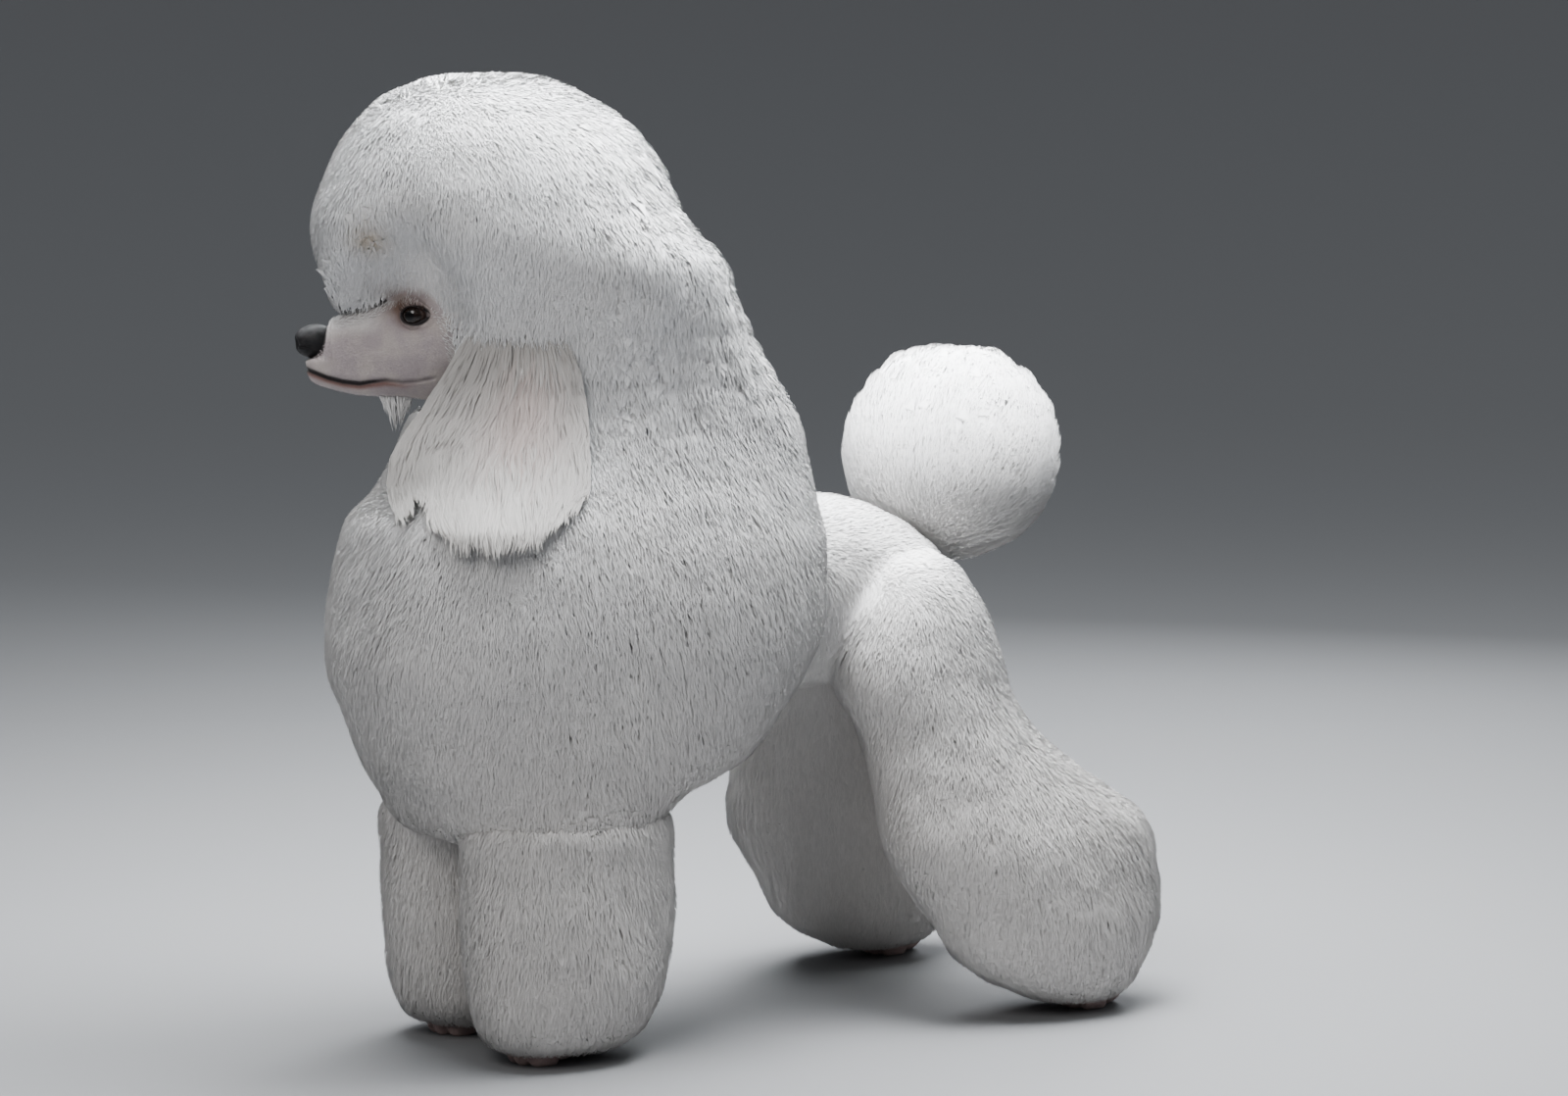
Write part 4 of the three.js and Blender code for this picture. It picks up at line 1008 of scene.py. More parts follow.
def evenPlaces(parts, voxel, rounds):
    # even places over the joined outline of closed shapes: the corners of their voxel surface, jittered, and
    # the normals there
    form = meshObject("coatForm", *joined(parts))
    weld(form)
    fused(form, voxel * mm, rounds)
    points, normals = (vertexValues(form, what).astype(float) for what in ("co", "normal"))
    bpy.data.objects.remove(form)
    drift = rng.uniform(-0.5, 0.5, points.shape) * voxel * mm
    return points + drift - normals * (drift * normals).sum(1, keepdims=True), normals


def flatten(wanted, outward):
    # direction turned into the surface
    return unit(wanted - outward * (wanted * outward).sum(1, keepdims=True))


def coatPieces(name, parts, rootOf, lieOf, bump, keep, rounds, mapOf, shorter=None):
    # two layers of coat over joined shapes: broad tufts from the skin that close the coat under its surface,
    # and fine tips that lean over them and end on the scissored surface
    for layer, shape in (("Under", under), ("", over)):
        tips, outward = evenPlaces(parts, shape["step"], max(2, int(rounds * (4.0 / shape["step"]) ** 2)))
        mask = keep(tips, outward)
        tips, outward = tips[mask], outward[mask]
        count = len(tips)
        lie = flatten(lieOf(tips, outward) + rng.normal(0, coat["disorder"], (count, 3)), outward)
        tips = tips + outward * bump(tips)[:, None]
        slope = shape["lean"] * rng.uniform(0.88, 1.1, (count, 1))
        length = shape["length"] * mm * rng.uniform(0.8, 1.2, (count, 1))
        if shorter:
            length = length * shorter(tips)[:, None]
        leaning = -(outward * np.cos(slope) + lie * np.sin(slope)) * length
        if layer:
            ends = tips - outward * shape["sink"] * mm * rng.uniform(0.8, 1.2, (count, 1))
            paths = np.stack([rootOf(ends + leaning), ends + leaning * 0.5, ends], 1)
        else:
            ends = tips - outward * rng.uniform(0, 1.0, (count, 1)) * mm
            paths = np.stack([ends + leaning, ends], 1)
        across, uv = np.cross(outward, lie), mapOf(tips)
        order = np.argsort(tips[:, 2], kind="stable")
        groups = np.array_split(order, max(1, math.ceil(count / shape["most"])))
        for k, group in enumerate(groups):
            title = f"{name}{layer}{k + 1}" if len(groups) > 1 else name + layer
            piece = hairMesh(title, paths[group], shape["radii"], shape["flat"], across[group],
                             outward[group], uv[group], coat["soften"], shape["tones"])
            per = len(piece.data.vertices) // len(group)
            addAttribute(piece, "stain", np.repeat(eyeStainAndBrowShade(tips[group]), per))
            addAttribute(piece, "blush", np.repeat(bandTan(tips[group]), per))
            piece.data.materials.append(coatMaterial)
            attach(piece, "root")
        print(name, layer, count, "tufts in", len(groups), "pieces")


def scallops(points, size, depth, seed):
    # small rounded clumps: each place sinks with the square of its distance from the nearest clump middle,
    # worked out for a few thousand places at a time
    draw = np.random.default_rng(seed)
    cells = np.unique(np.floor(points / size).astype(int), axis=0)
    middles = ((cells + draw.uniform(0.2, 0.8, cells.shape)) * size).astype(np.float32)
    nearest = np.empty(len(points), np.float32)
    atOnce = 4000
    for start in range(0, len(points), atOnce):
        part = points[start:start + atOnce].astype(np.float32)
        away = (part**2).sum(1)[:, None] - 2 * part @ middles.T + (middles**2).sum(1)[None]
        nearest[start:start + atOnce] = np.maximum(away.min(1), 0)
    return depth * (0.45 - np.minimum(nearest / size**2, 1.0))


def insideTrunk(points, grow):
    # whether places lie inside loin and rump, made larger by grow
    p = inDogFrame(points)
    top, bottom, half = (between(trunkRows, p[:, 0], column) for column in (1, 2, 3))
    level = (p[:, 2] - (top + bottom) / 2) / ((top - bottom) / 2 + grow)
    onLength = (p[:, 0] > trunkRows[0, 0]) & (p[:, 0] < trunkRows[-1, 0])
    return onLength & (level**2 + (p[:, 1] / (half + grow)) ** 2 < 1)


def maneRoot(points):
    # place on the skin under a place on the coat: nearer to the middle line, and lower over the crown
    _, middle, share = maneLevel(points)
    p = inDogFrame(points)
    root = middle + (p - middle) * share[:, None]
    root[:, 2] = np.where(p[:, 2] > topknotBase, topknotBase + (p[:, 2] - topknotBase) * share, p[:, 2])
    return place(root)


def roundMap(middleOf, low, high):
    # unwrap round an upright middle line: the turn across and the height up
    def mapOf(points):
        p = inDogFrame(points)
        middle = middleOf(p)
        turn = np.arctan2(p[:, 1] - middle[:, 1], p[:, 0] - middle[:, 0]) / (2 * math.pi) + 0.5
        return np.stack([turn, (p[:, 2] - low) / (high - low)], 1) * 0.98 + 0.01
    return mapOf


def insideOutline(x, y, outline):
    # crossing test of points against a closed outline
    inside = np.zeros(len(x), bool)
    for (x1, y1), (x2, y2) in zip(outline, np.roll(outline, -1, 0)):
        crosses = (y1 > y) != (y2 > y)
        inside ^= crosses & (x < (x2 - x1) * (y - y1) / (y2 - y1 + 1e-9) + x1)
    return inside


def maneLie(points, outward):
    # brushed down all round, with a turn to the rear over the crown
    crown = smoothStep(inDogFrame(points)[:, 2], 820, 960)[:, None]
    return -upward - headForward * 0.35 * crown


band = dict(forward=42, up=74, deep=8.0, wide=9.0, folds=7)


def bandPlace(points):
    # distance and turn round the place where the hidden band gathers the topknot
    f, _, u = inHeadFrame(points)
    ahead, above = f - band["forward"], u - band["up"]
    return np.hypot(ahead, above * 1.3), np.arctan2(above, ahead)


def bandTan(points):
    # tan tint where the band gathers the topknot
    away, _ = bandPlace(points)
    return bell(away, 8) + 0.25 * bell(away - 15, 9)


def maneBump(points):
    # nearly even, with small scissored clumps over the back of the neck, and folds that run in to the band
    z = inDogFrame(points)[:, 2]
    forward, _, _ = inHeadFrame(points)
    nape = smoothStep(z, 600, 700) * (1 - smoothStep(z, 985, 1020)) * smoothStep(-forward, 150, 240)
    away, turn = bandPlace(points)
    folds = 1.6 * np.sin(turn * band["folds"]) * bell(away - 17, 9)
    gathered = band["deep"] * bell(away, band["wide"]) + folds
    even = waves(points, 0.05, 3) * 0.0006 + waves(points, 0.14, 4) * 0.001
    return even + scallops(points, 0.026, 0.010, 5) * nape - gathered * mm


def maneKeep(points, outward):
    # the coat leaves the clipped face free, with a slightly uneven edge, and stops at the clipped loin
    f, _, u = inHeadFrame(points)
    f, u = f + rng.normal(0, 1.2, len(f)), u + rng.normal(0, 1.8, len(f))
    return ~insideOutline(f, u, faceOpening) & ~insideTrunk(points, 4)


def nearFace(points):
    # tufts are shorter behind and below the face, where they hang from it
    f, l, u = inHeadFrame(points)
    away = np.maximum(np.abs(l) - between(closeRows, f, 1), 0)
    far = np.maximum(smoothStep(-f, 40, 110), smoothStep(u, -30, 10))
    return 0.5 + 0.5 * np.maximum(np.maximum(far, smoothStep(away, 20, 70)), smoothStep(-u, 110, 150))


def evenDown(points, outward):
    # straight down everywhere
    return np.repeat(-upward[None], len(points), 0)


def legBump(points):
    # soft unevenness of the scissored surface
    return waves(points, 0.04, 6) * 0.0006 + waves(points, 0.11, 7) * 0.001


def maneMiddle(p):
    # middle line of the slices at each height
    return np.stack([between(maneRows, p[:, 2], column) for column in (1, 2)], -1)


maneForms = [closedLoft(maneSurface, 0, len(maneRows) - 1, 120, 96)]
coatPieces("coatMane", maneForms, maneRoot, maneLie, maneBump, maneKeep, 8, roundMap(maneMiddle, 220, 1035),
           nearFace)


def legForm(rows, side, legShift, lines):
    # whole outline of a leg's coat
    return closedLoft(lambda t, a: legSurface(rows, side, legShift, t, a), 0, len(rows) - 1, lines, 72)


def legMiddle(rows, side, legShift, p):
    # middle line of a leg at the height of each place
    x, y = between(rows, p[:, 2], 1) + legShift[0], side * (between(rows, p[:, 2], 2) + legShift[1])
    return np.stack([x, y, p[:, 2]], -1)


def legRoot(rows, side, legShift, points):
    # place on the skin under a place on the coat: nearer to the middle line by the skin's share
    p = inDogFrame(points)
    middle = legMiddle(rows, side, legShift, p)
    return place(middle + (p - middle) * between(rows, p[:, 2], 5)[:, None])


croup = dict(middle=465, inward=0.09)


def hindRoot(points):
    # from the legs' middle lines below the croup, and straight in on loin and croup
    p = inDogFrame(points)
    left, right = (legRoot(hindRows, side, hindShift[side], points) for side in (-1, 1))
    leg = np.where((p[:, 1] < 0)[:, None], left, right)
    middle = np.stack([p[:, 0], p[:, 1] * 0, p[:, 2] * 0 + croup["middle"]], -1)
    trunk = place(p + (middle - p) * croup["inward"])
    mostly = smoothStep(p[:, 2], 380, 470)[:, None]
    return leg * (1 - mostly) + trunk * mostly


def hindLie(points, outward):
    # back over the loin, down the thighs and legs
    onBack = smoothStep(inDogFrame(points)[:, 2], 430, 540)[:, None]
    return -upward * (1 - onBack) + (backward - upward * 0.2) * onBack


def hindKeep(points, outward):
    # the hind coat stops inside the chest's coat and just above the floor
    level, _, _ = maneLevel(points)
    z = inDogFrame(points)[:, 2]
    return ~((level < 0.93) & (z > maneRows[0, 0])) & (z > 9.5)


def hindMiddle(p):
    # an upright line inside each hind leg
    return np.stack([p[:, 0] * 0 + 520, np.where(p[:, 1] < 0, -120.0, 120.0)], -1)


hindForms = [closedLoft(trunkSurface, 0.4, 9.9, 50, 72), closedLoft(tailBase, 0, 1, 12, 24)]
hindForms += [legForm(hindRows, side, hindShift[side], 90) for side in (-1, 1)]
coatPieces("coatHind", hindForms, hindRoot, hindLie, legBump, hindKeep, 30, roundMap(hindMiddle, 0, 580))

for side, word in ((-1, "Left"), (1, "Right")):
    def foreRoot(points, side=side):
        return legRoot(foreRows, side, (0, 0), points)

    def foreKeep(points, outward, side=side):
        # the two front legs press together at the middle, so each stops there, inside the chest and above
        # the floor
        p = inDogFrame(points)
        level, _, _ = maneLevel(points)
        return (p[:, 1] * side > 2) & ~((level < 0.985) & (p[:, 2] > 228)) & (p[:, 2] > 8.5)

    foreForms = [legForm(foreRows, side, (0, 0), 70)]
    coatPieces("coatFore" + word, foreForms, foreRoot, evenDown, legBump, foreKeep, 8,
               roundMap(lambda p, side=side: legMiddle(foreRows, side, (0, 0), p), 0, 270))


def pomRoot(points):
    # place on the pompon's core straight under a place on its coat
    middle = place(np.array(tail["pom"]))
    return middle + (points - middle) * pomShare


def pomLie(points, outward):
    # brushed up and a little to the rear
    return np.repeat((upward + backward * 0.3)[None], len(points), 0)


def pomBump(points):
    # uneven all round, with small clumps on the upper rear side
    p = inDogFrame(points)
    return legBump(points) + scallops(points, 0.025, 0.012, 9) * smoothStep(p[:, 2] + p[:, 0] * 0.4, 790, 900)


def pomKeep(points, outward):
    # all but what would lie inside the rump
    return ~insideTrunk(points, 2)


def pomMiddle(p):
    # the upright line through the pompon's middle
    return np.repeat(np.array([tail["pom"][:2]], float), len(p), 0)


pomForm = closedLoft(pomSurface, 0.02, math.pi - 0.02, 60, 80)
coatPieces("coatPom", [pomForm], pomRoot, pomLie, pomBump, pomKeep, 8, roundMap(pomMiddle, 480, 730))

# Ear hair
fringe = dict(locks=5000, length=(34, 84), width=1.55,
              flat=0.5, wave=3.0, wisps=17, inner=0.2, innerShort=16, soften=0.86)
earEnds = np.array([[-1, -186], [-0.85, -212], [-0.6, -230], [0, -239], [0.3, -236], [0.5, -222], [0.6, -200],
                    [0.67, -186], [0.76, -188], [0.84, -204], [0.92, -210], [0.97, -204], [1, -186]])
# ear hair well darker than the white coat: painted shade, over a slight warm beige tint of its own
earShadeLook = dict(coatLook, tip=(0.48, 0.46, 0.445), root=(0.42, 0.385, 0.36), warm=(0.43, 0.39, 0.365),
               low=(0.43, 0.41, 0.39), blush=(0.38, 0.315, 0.295))
earMaterial = makeCoatMaterial("earCoat", earShadeLook)


def earCoat(side, name):
    # hanging locks of the ear: each starts on the leather, lifts over the lower ones and runs down it in soft
    # waves, drawn together into wisps towards the tips, which end in an uneven row; some line the inner side
    count = fringe["locks"]
    up = 12 - 216 * rng.uniform(0, 1, count) ** 0.9
    across = np.clip(rng.uniform(-1.04, 1.04, count), -1, 1)
    length = rng.uniform(*fringe["length"], count) * (1 + 0.35 * smoothStep(-up, 60, 160))
    f = np.linspace(0, 1, 5)[None]
    wisps = np.linspace(-0.95, 0.95, fringe["wisps"]) + rng.uniform(-0.03, 0.03, fringe["wisps"])
    drops = rng.uniform(-4, 5, fringe["wisps"])
    nearest = np.abs(across[:, None] - wisps[None]).argmin(1)
    lowest = between(earEnds, across, 1) - drops[nearest] + 60 * (across - wisps[nearest]) ** 2 / 0.06
    inner = (rng.uniform(0, 1, count) < fringe["inner"]) & (np.abs(across) < 0.9)
    end = np.maximum(up - length, lowest + rng.uniform(0, 22, count) + fringe["innerShort"] * inner)
    up = np.maximum(up, end + 14)
    ups = up[:, None] + (end - up)[:, None] * f

    # the way across the leaf: gathered into wisps, each lock with its own drift and waves
    gather = 0.4 * smoothStep(-ups, 150, 240) * f
    sway = across[:, None] * (1 - gather) + wisps[nearest][:, None] * gather
    phase = across[:, None] * 9 + rng.normal(0, 1.0, (count, 1))
    wave = np.sin(ups / 9 + phase) * smoothStep(-ups, 10, 120)
    sway = sway + rng.normal(0, 0.03, (count, 1)) * f + wave * fringe["wave"] / 90

    # the lift off the leaf: ridges down the ear, and looser hair at its root
    swell = 6 + 1.6 * np.cos(across[:, None] * 17 + ups / 60)
    lift = -1.0 + swell * np.sin(f * 2.3) * rng.uniform(0.35, 1.15, (count, 1))
    lift = lift + np.sin(ups / 11 + phase * 1.7) * 1.1 * f
    lift = lift + (4.5 * rng.uniform(0, 1, (count, 1)) ** 2 - 1.5) * (1 - smoothStep(-ups, 20, 90))
    inner = inner[:, None]
    lift = np.where(inner, -ear["thickness"] / 2 - 1 - rng.uniform(0, 2, (count, 1)), lift)
    paths = earPoint(side, ups, np.clip(sway, -1.03, 1.03), lift)

    # directions on the leaf, from steps across and up it
    acrossWay = unit(earPoint(side, up, across + 0.02, 0) - earPoint(side, up, across - 0.02, 0))
    still = np.clip(sway, -0.97, 0.97)
    here = earPoint(side, ups, still, lift * 0)
    upStep = earPoint(side, ups + 4, still, lift * 0) - here
    outward = unit(np.cross(upStep, earPoint(side, ups, still + 0.04, lift * 0) - here))
    facing = np.sign((outward * headLeft * side).sum(-1, keepdims=True))
    outward = outward * facing * np.where(inner, -1, 1)[..., None]
    width = fringe["width"] * np.array([0.8, 1, 0.95, 0.7])[None] * rng.uniform(0.5, 1.3, (count, 1))
    uv = np.stack([across * 0.24 + 0.25 + 0.5 * (side > 0), (up + 262) / 280 * 0.95], 1)
    made = hairMesh(name, paths, width, fringe["flat"], acrossWay, outward, uv, fringe["soften"],
                    (0.55, 0.75, 0.88, 0.95, 1.0))
    leather = bell(across + 0.3, 0.36) * smoothStep(-up, 4, 40) * (1 - smoothStep(-up, 84, 128))
    addAttribute(made, "blush", np.repeat(0.9 * leather, len(made.data.vertices) // count))
    made.data.materials.append(earMaterial)
    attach(made, "root")


earCoat(1, "coatEarLeft")
earCoat(-1, "coatEarRight")
print("ears finished")

# Short hair of the face and the coat's edge round it
clipped = dict(step=2.3, length=3.2, radius=0.5, lean=1.2, sunk=0.4)
fringeEdge = dict(step=3.0, longest=44, radius=0.85)


def openingDepth(f, u):
    # distance of a place in the side view from the edge of the clipped face, more than 0 inside it
    nearest = np.full(len(f), 1e9)
    for (x1, y1), (x2, y2) in zip(faceOpening[:-1], faceOpening[1:]):
        dx, dy = x2 - x1, y2 - y1
        share = np.clip(((f - x1) * dx + (u - y1) * dy) / (dx**2 + dy**2), 0, 1)
        nearest = np.minimum(nearest, np.hypot(f - x1 - share * dx, u - y1 - share * dy))
    return np.where(insideOutline(f, u, faceOpening), nearest, -nearest)


def onHead(spacing, forwardLow):
    # places over the sculpted head clear of eyes, nose and mouth line, with the direction out of it
    t, angle = scatter(headSurface, float(headRowAt(forwardLow)), 13.6, spacing * mm)
    base, outward = headSurface(t, angle), outwardOf(headSurface, t, angle)
    f, l, u = inHeadFrame(base)
    sideways = smoothStep(np.abs(l) / 20, 0.25, 0.8)
    l = l + np.sign(l) * sculptOut(f, u) * sideways
    x, z = f - eye["forward"], u - eye["up"]
    nearEye = ovalAway(x, z, eye["reach"]) < 1
    l = np.where(nearEye & (np.abs(l) > 15), np.sign(l) * lidLeft(x, z), l)
    onMouth = (np.abs(u - mouthUp(f)) < 1.6) & (f > -12)
    keep = (ovalAway(x, z, eye["half"]) > 1.22) & (noseAway(f, l, u) > 1.36) & ~onMouth
    uv = np.stack([(angle / (2 * math.pi)) % 1, t / 14], 1) * 0.98 + 0.01
    return [v[keep] for v in (f, l, u, place(headPoint(f, l, u)), outward, uv)]


def faceHair():
    # very short clipped hair that lies back along the face
    f, l, u, roots, outward, uv = onHead(clipped["step"], -66)
    depth = openingDepth(f, u)
    keep = depth > -4
    f, depth, roots, outward, uv = (v[keep] for v in (f, depth, roots, outward, uv))
    count = len(f)
    wanted = np.repeat((-headForward - 0.25 * upward)[None], count, 0)
    lie = flatten(wanted + rng.normal(0, 0.16, (count, 3)), outward)
    longer = 1 + 0.5 * smoothStep(-f, -10, 50) + 0.8 * (1 - smoothStep(depth, 0, 9))
    length = clipped["length"] * mm * rng.uniform(0.7, 1.25, count) * longer
    slope = clipped["lean"] * rng.uniform(0.85, 1.1, count)
    tips = roots + (outward * np.cos(slope)[:, None] + lie * np.sin(slope)[:, None]) * length[:, None]
    paths = np.stack([roots - outward * clipped["sunk"] * mm, tips], 1)
    made = hairMesh("hairFace", paths, [clipped["radius"]], 0.6, np.cross(lie, outward), outward, uv, 0.75,
                    (0.4, 1.0))
    addMarkings(made, np.repeat(roots, len(made.data.vertices) // count, 0))
    made.data.materials.append(clippedMaterial)
    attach(made, "root")
    print("face hair", count)


def browCoat():
    # coat that grows longer from the edge of the clipped face outwards, over the brow, behind the cheek and
    # at the throat; it lies up and back above the eyes, and back and down below them
    f, l, u, roots, outward, uv = onHead(fringeEdge["step"], -92)
    depth = openingDepth(f, u)
    keep = (depth < 9) & (depth > -34)
    u, depth, roots, outward, uv = (v[keep] for v in (u, depth, roots, outward, uv))
    count = len(u)
    grown = smoothStep(-depth, -9, 30)
    length = (5 + fringeEdge["longest"] * grown) * mm * rng.uniform(0.75, 1.15, count)
    rise = smoothStep(u, -10, 20)[:, None]
    wanted = (upward * 0.9 - headForward * 0.5) * rise + (-headForward * 0.9 - upward * 0.5) * (1 - rise)
    lie = flatten(wanted + rng.normal(0, 0.2, (count, 3)), outward)
    tips = roots + outward * (length * 0.38)[:, None] + lie * (length * 0.85)[:, None]
    paths = curved(roots, tips, outward, dict(rise=0.2, stops=(0.0, 0.6, 1.0)))
    radii = np.array([1.0, 0.8])[None] * (fringeEdge["radius"] * (0.6 + 0.9 * grown))[:, None]
    across = np.cross(outward, rng.normal(size=(count, 3)))
    made = hairMesh("coatBrow", paths, radii, 0.6, across, outward, uv, 0.75, (0.3, 0.75, 1.0))
    addAttribute(made, "stain", eyeStainAndBrowShade(np.repeat(roots, len(made.data.vertices) // count, 0)))
    made.data.materials.append(coatMaterial)
    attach(made, "root")
    print("brow coat", count)


faceHair()
browCoat()

# Eyes, nose and lashes
def eyeball(side, name):
    # round eye by the turn away from its gaze: the clear front stands out a little
    ahead, aside, above = eye["gaze"]
    gaze = unit(headVector(ahead, side * aside, above))
    across = unit(np.cross(upward, gaze))
    over = np.cross(gaze, across)
    middle = headPoint(eye["forward"], side * eye["side"], eye["up"])

    def pointAt(t, angle):
        t, angle = np.broadcast_arrays(t, angle)
        radius = eye["radius"] * (1 + 0.05 * (1 - smoothStep(t, 0.3, 0.85)))
        ring = np.sin(t)[..., None] * (np.cos(angle)[..., None] * across + np.sin(angle)[..., None] * over)
        return place(middle + radius[..., None] * (ring + np.cos(t)[..., None] * gaze))

    made = meshObject(name, *closedLoft(pointAt, math.pi - 0.02, 0.02, 60, 56))
    weld(made)
    offset = unit(vertexValues(made, "co") - place(middle))
    addAttribute(made, "ring", np.arccos(np.clip(offset @ gaze, -1, 1)))
    addAttribute(made, "around", np.arctan2(offset @ over, offset @ across))
    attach(made, "root")
    return made


eyeLook = dict(iris=(0.008, 0.005, 0.004), rays=(0.020, 0.011, 0.007), pupil=(0.002, 0.002, 0.002),
               edge=(0.010, 0.006, 0.005), white=(0.045, 0.028, 0.024), roughness=0.12, specular=0.3,
               gloss=0.35, glossRoughness=0.03)


def makeEyeMaterial(look):
    # dark brown iris with fine rays round a black pupil, a dark edge and a dull brownish white, all wet
    material, tree, shader = shaderOf("darkEye")
    ring = attributeOf(tree, "ring")
    turned = mapRange(tree, attributeOf(tree, "around"), -math.pi, math.pi, 0.0, 60.0)
    rayPlace = feed(tree, tree.nodes.new("ShaderNodeCombineXYZ"), {"X": turned, "Y": ring}).outputs["Vector"]
    rays = mapRange(tree, noiseOf(tree, 1.0, 3.0, at=rayPlace), 0.35, 0.65)
    colour = mixColour(tree, rays, look["iris"], look["rays"])
    onPupil = mapRange(tree, ring, eye["pupil"] - 0.03, eye["pupil"] + 0.03, 1.0, 0.0)
    colour = mixColour(tree, onPupil, colour, look["pupil"])
    edge = eye["iris"]
    colour = mixColour(tree, mapRange(tree, ring, edge - 0.1, edge), colour, look["edge"])
    colour = mixColour(tree, mapRange(tree, ring, edge + 0.02, edge + 0.12), colour, look["white"])
    feed(tree, shader, {"Base Color": colour, "Roughness": look["roughness"],
                        "Specular IOR Level": look["specular"], "Coat Weight": look["gloss"],
                        "Coat Roughness": look["glossRoughness"]})
    return material


eyeMaterial = makeEyeMaterial(eyeLook)
for side, word in ((1, "left"), (-1, "right")):
    ball = eyeball(side, "eyeball_" + word)
    ball.data.materials.append(eyeMaterial)
    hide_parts("eye_" + word)


nostril = dict(across=7.2, up=-1.5, deep=7.5, wide=2.6, high=3.4, slit=8.0, slitDeep=2.6)


def noseSurface(t, angle):
    # nose leather by the turn away from straight ahead: a rounded box, flatter in front and narrower below,
    # with the nostrils, their slits to the sides and the groove in the middle pressed into it, and with the
    # wings round the nostrils raised
    t, angle = np.broadcast_arrays(t, angle)
    f, l, u = np.cos(t), np.sin(t) * np.sin(angle), np.sin(t) * np.cos(angle)
    power = nose["squareness"]
    stretch = (np.abs(f) ** power + np.abs(l) ** power + np.abs(u) ** power) ** (-1 / power)
    f, l, u = f * stretch * nose["length"], l * stretch * nose["width"], u * stretch * nose["height"]
    u = u - 1.5 * smoothStep(u, 4, 16) * smoothStep(f, -4, 16)
    l = l * (1 - 0.16 * smoothStep(-u, 2, 18))
    front = smoothStep(f, 3, 12)
    x, z = np.abs(l) - nostril["across"], u - nostril["up"]
    hole = bell(x / nostril["wide"], 1) * bell(z / nostril["high"], 1)
    onSlit = smoothStep(x, 0, 3) * (1 - smoothStep(x, nostril["slit"], nostril["slit"] + 3))
    slit = bell(z + 1.5 + 0.10 * np.maximum(x, 0) ** 1.4, 1.1) * onSlit * nostril["slitDeep"]
    groove = 1.5 * bell(l, 1.0) * smoothStep(-u, -6, 4)
    wings = bell(x - 1.5, 3.5) * bell(z - 4.5, 2.6)
    f = f - front * (nostril["deep"] * hole + groove) + front * wings
    return f, l - np.sign(l) * slit * smoothStep(f, -6, 8), u


def buildNose():
    # grid over both parameters, closed in front and behind
    t = np.linspace(0.004, math.pi - 0.02, 150)[::-1][:, None]
    angle = np.linspace(0, 2 * math.pi, 160, endpoint=False)[None]
    f, l, u = noseSurface(t, angle)
    points = place(headPoint(nose["forward"] + f, l, nose["up"] + u))
    made = meshObject("noseLeather", points.reshape(-1, 3), gridFaces(*f.shape))
    weld(made, closed=True)
    made.data.polygons.foreach_set("use_smooth", np.full(len(made.data.polygons), True))
    f, l, u = inHeadFrame(vertexValues(made, "co").astype(float))
    # how far into a nostril a place lies, which the nose material turns into painted shade
    x, z = np.abs(l) - nostril["across"], u - nose["up"] - nostril["up"]
    hole = bell(x / nostril["wide"], 0.9) * bell(z / nostril["high"], 0.9)
    addAttribute(made, "deep", np.clip(hole * 1.3, 0, 1))
    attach(made, "root")
    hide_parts("nose")
    return made


# hole: painted shade that makes the nostrils darker than the leather
noseLook = dict(dark=(0.006, 0.006, 0.007), light=(0.016, 0.014, 0.015), hole=(0.002, 0.002, 0.002),
                roughness=0.40, specular=0.22, moist=0.06, moistRoughness=0.25, pebbles=900,
                bump=(0.6, 0.0005))


def makeNoseMaterial(look):
    # black nose leather: fine pebbled grain, moist shine on top, and painted shade that makes the nostrils
    # dead black
    material, tree, shader = shaderOf("noseBlack")
    colour = mixColour(tree, mapRange(tree, noiseOf(tree, 160, 3), 0.4, 0.65), look["dark"], look["light"])
    colour = mixColour(tree, attributeOf(tree, "deep"), colour, look["hole"])
    cells = tree.nodes.new("ShaderNodeTexVoronoi")
    cells.feature = "DISTANCE_TO_EDGE"
    feed(tree, cells, {"Scale": look["pebbles"], "Vector": objectPlace(tree)})
    pebbles = mapRange(tree, cells.outputs["Distance"], 0.0, 0.25)
    feed(tree, shader, {"Base Color": colour, "Normal": bumpOf(tree, pebbles, *look["bump"]),
                        "Roughness": look["roughness"], "Specular IOR Level": look["specular"],
                        "Coat Weight": look["moist"], "Coat Roughness": look["moistRoughness"]})
    return material


buildNose().data.materials.append(makeNoseMaterial(noseLook))

lash = dict(count=46, length=(7, 12), radius=0.32)
lashLook = dict(dark=(0.020, 0.013, 0.010), light=(0.10, 0.06, 0.045), roughness=0.55)


def makeDarkHairMaterial(look):
    # brown hair, each one a little lighter or darker
    material, tree, shader = shaderOf("darkHair")
    tone = mixColour(tree, attributeOf(tree, "pick"), look["dark"], look["light"])
    feed(tree, shader, {"Base Color": tone, "Roughness": look["roughness"]})
    return material


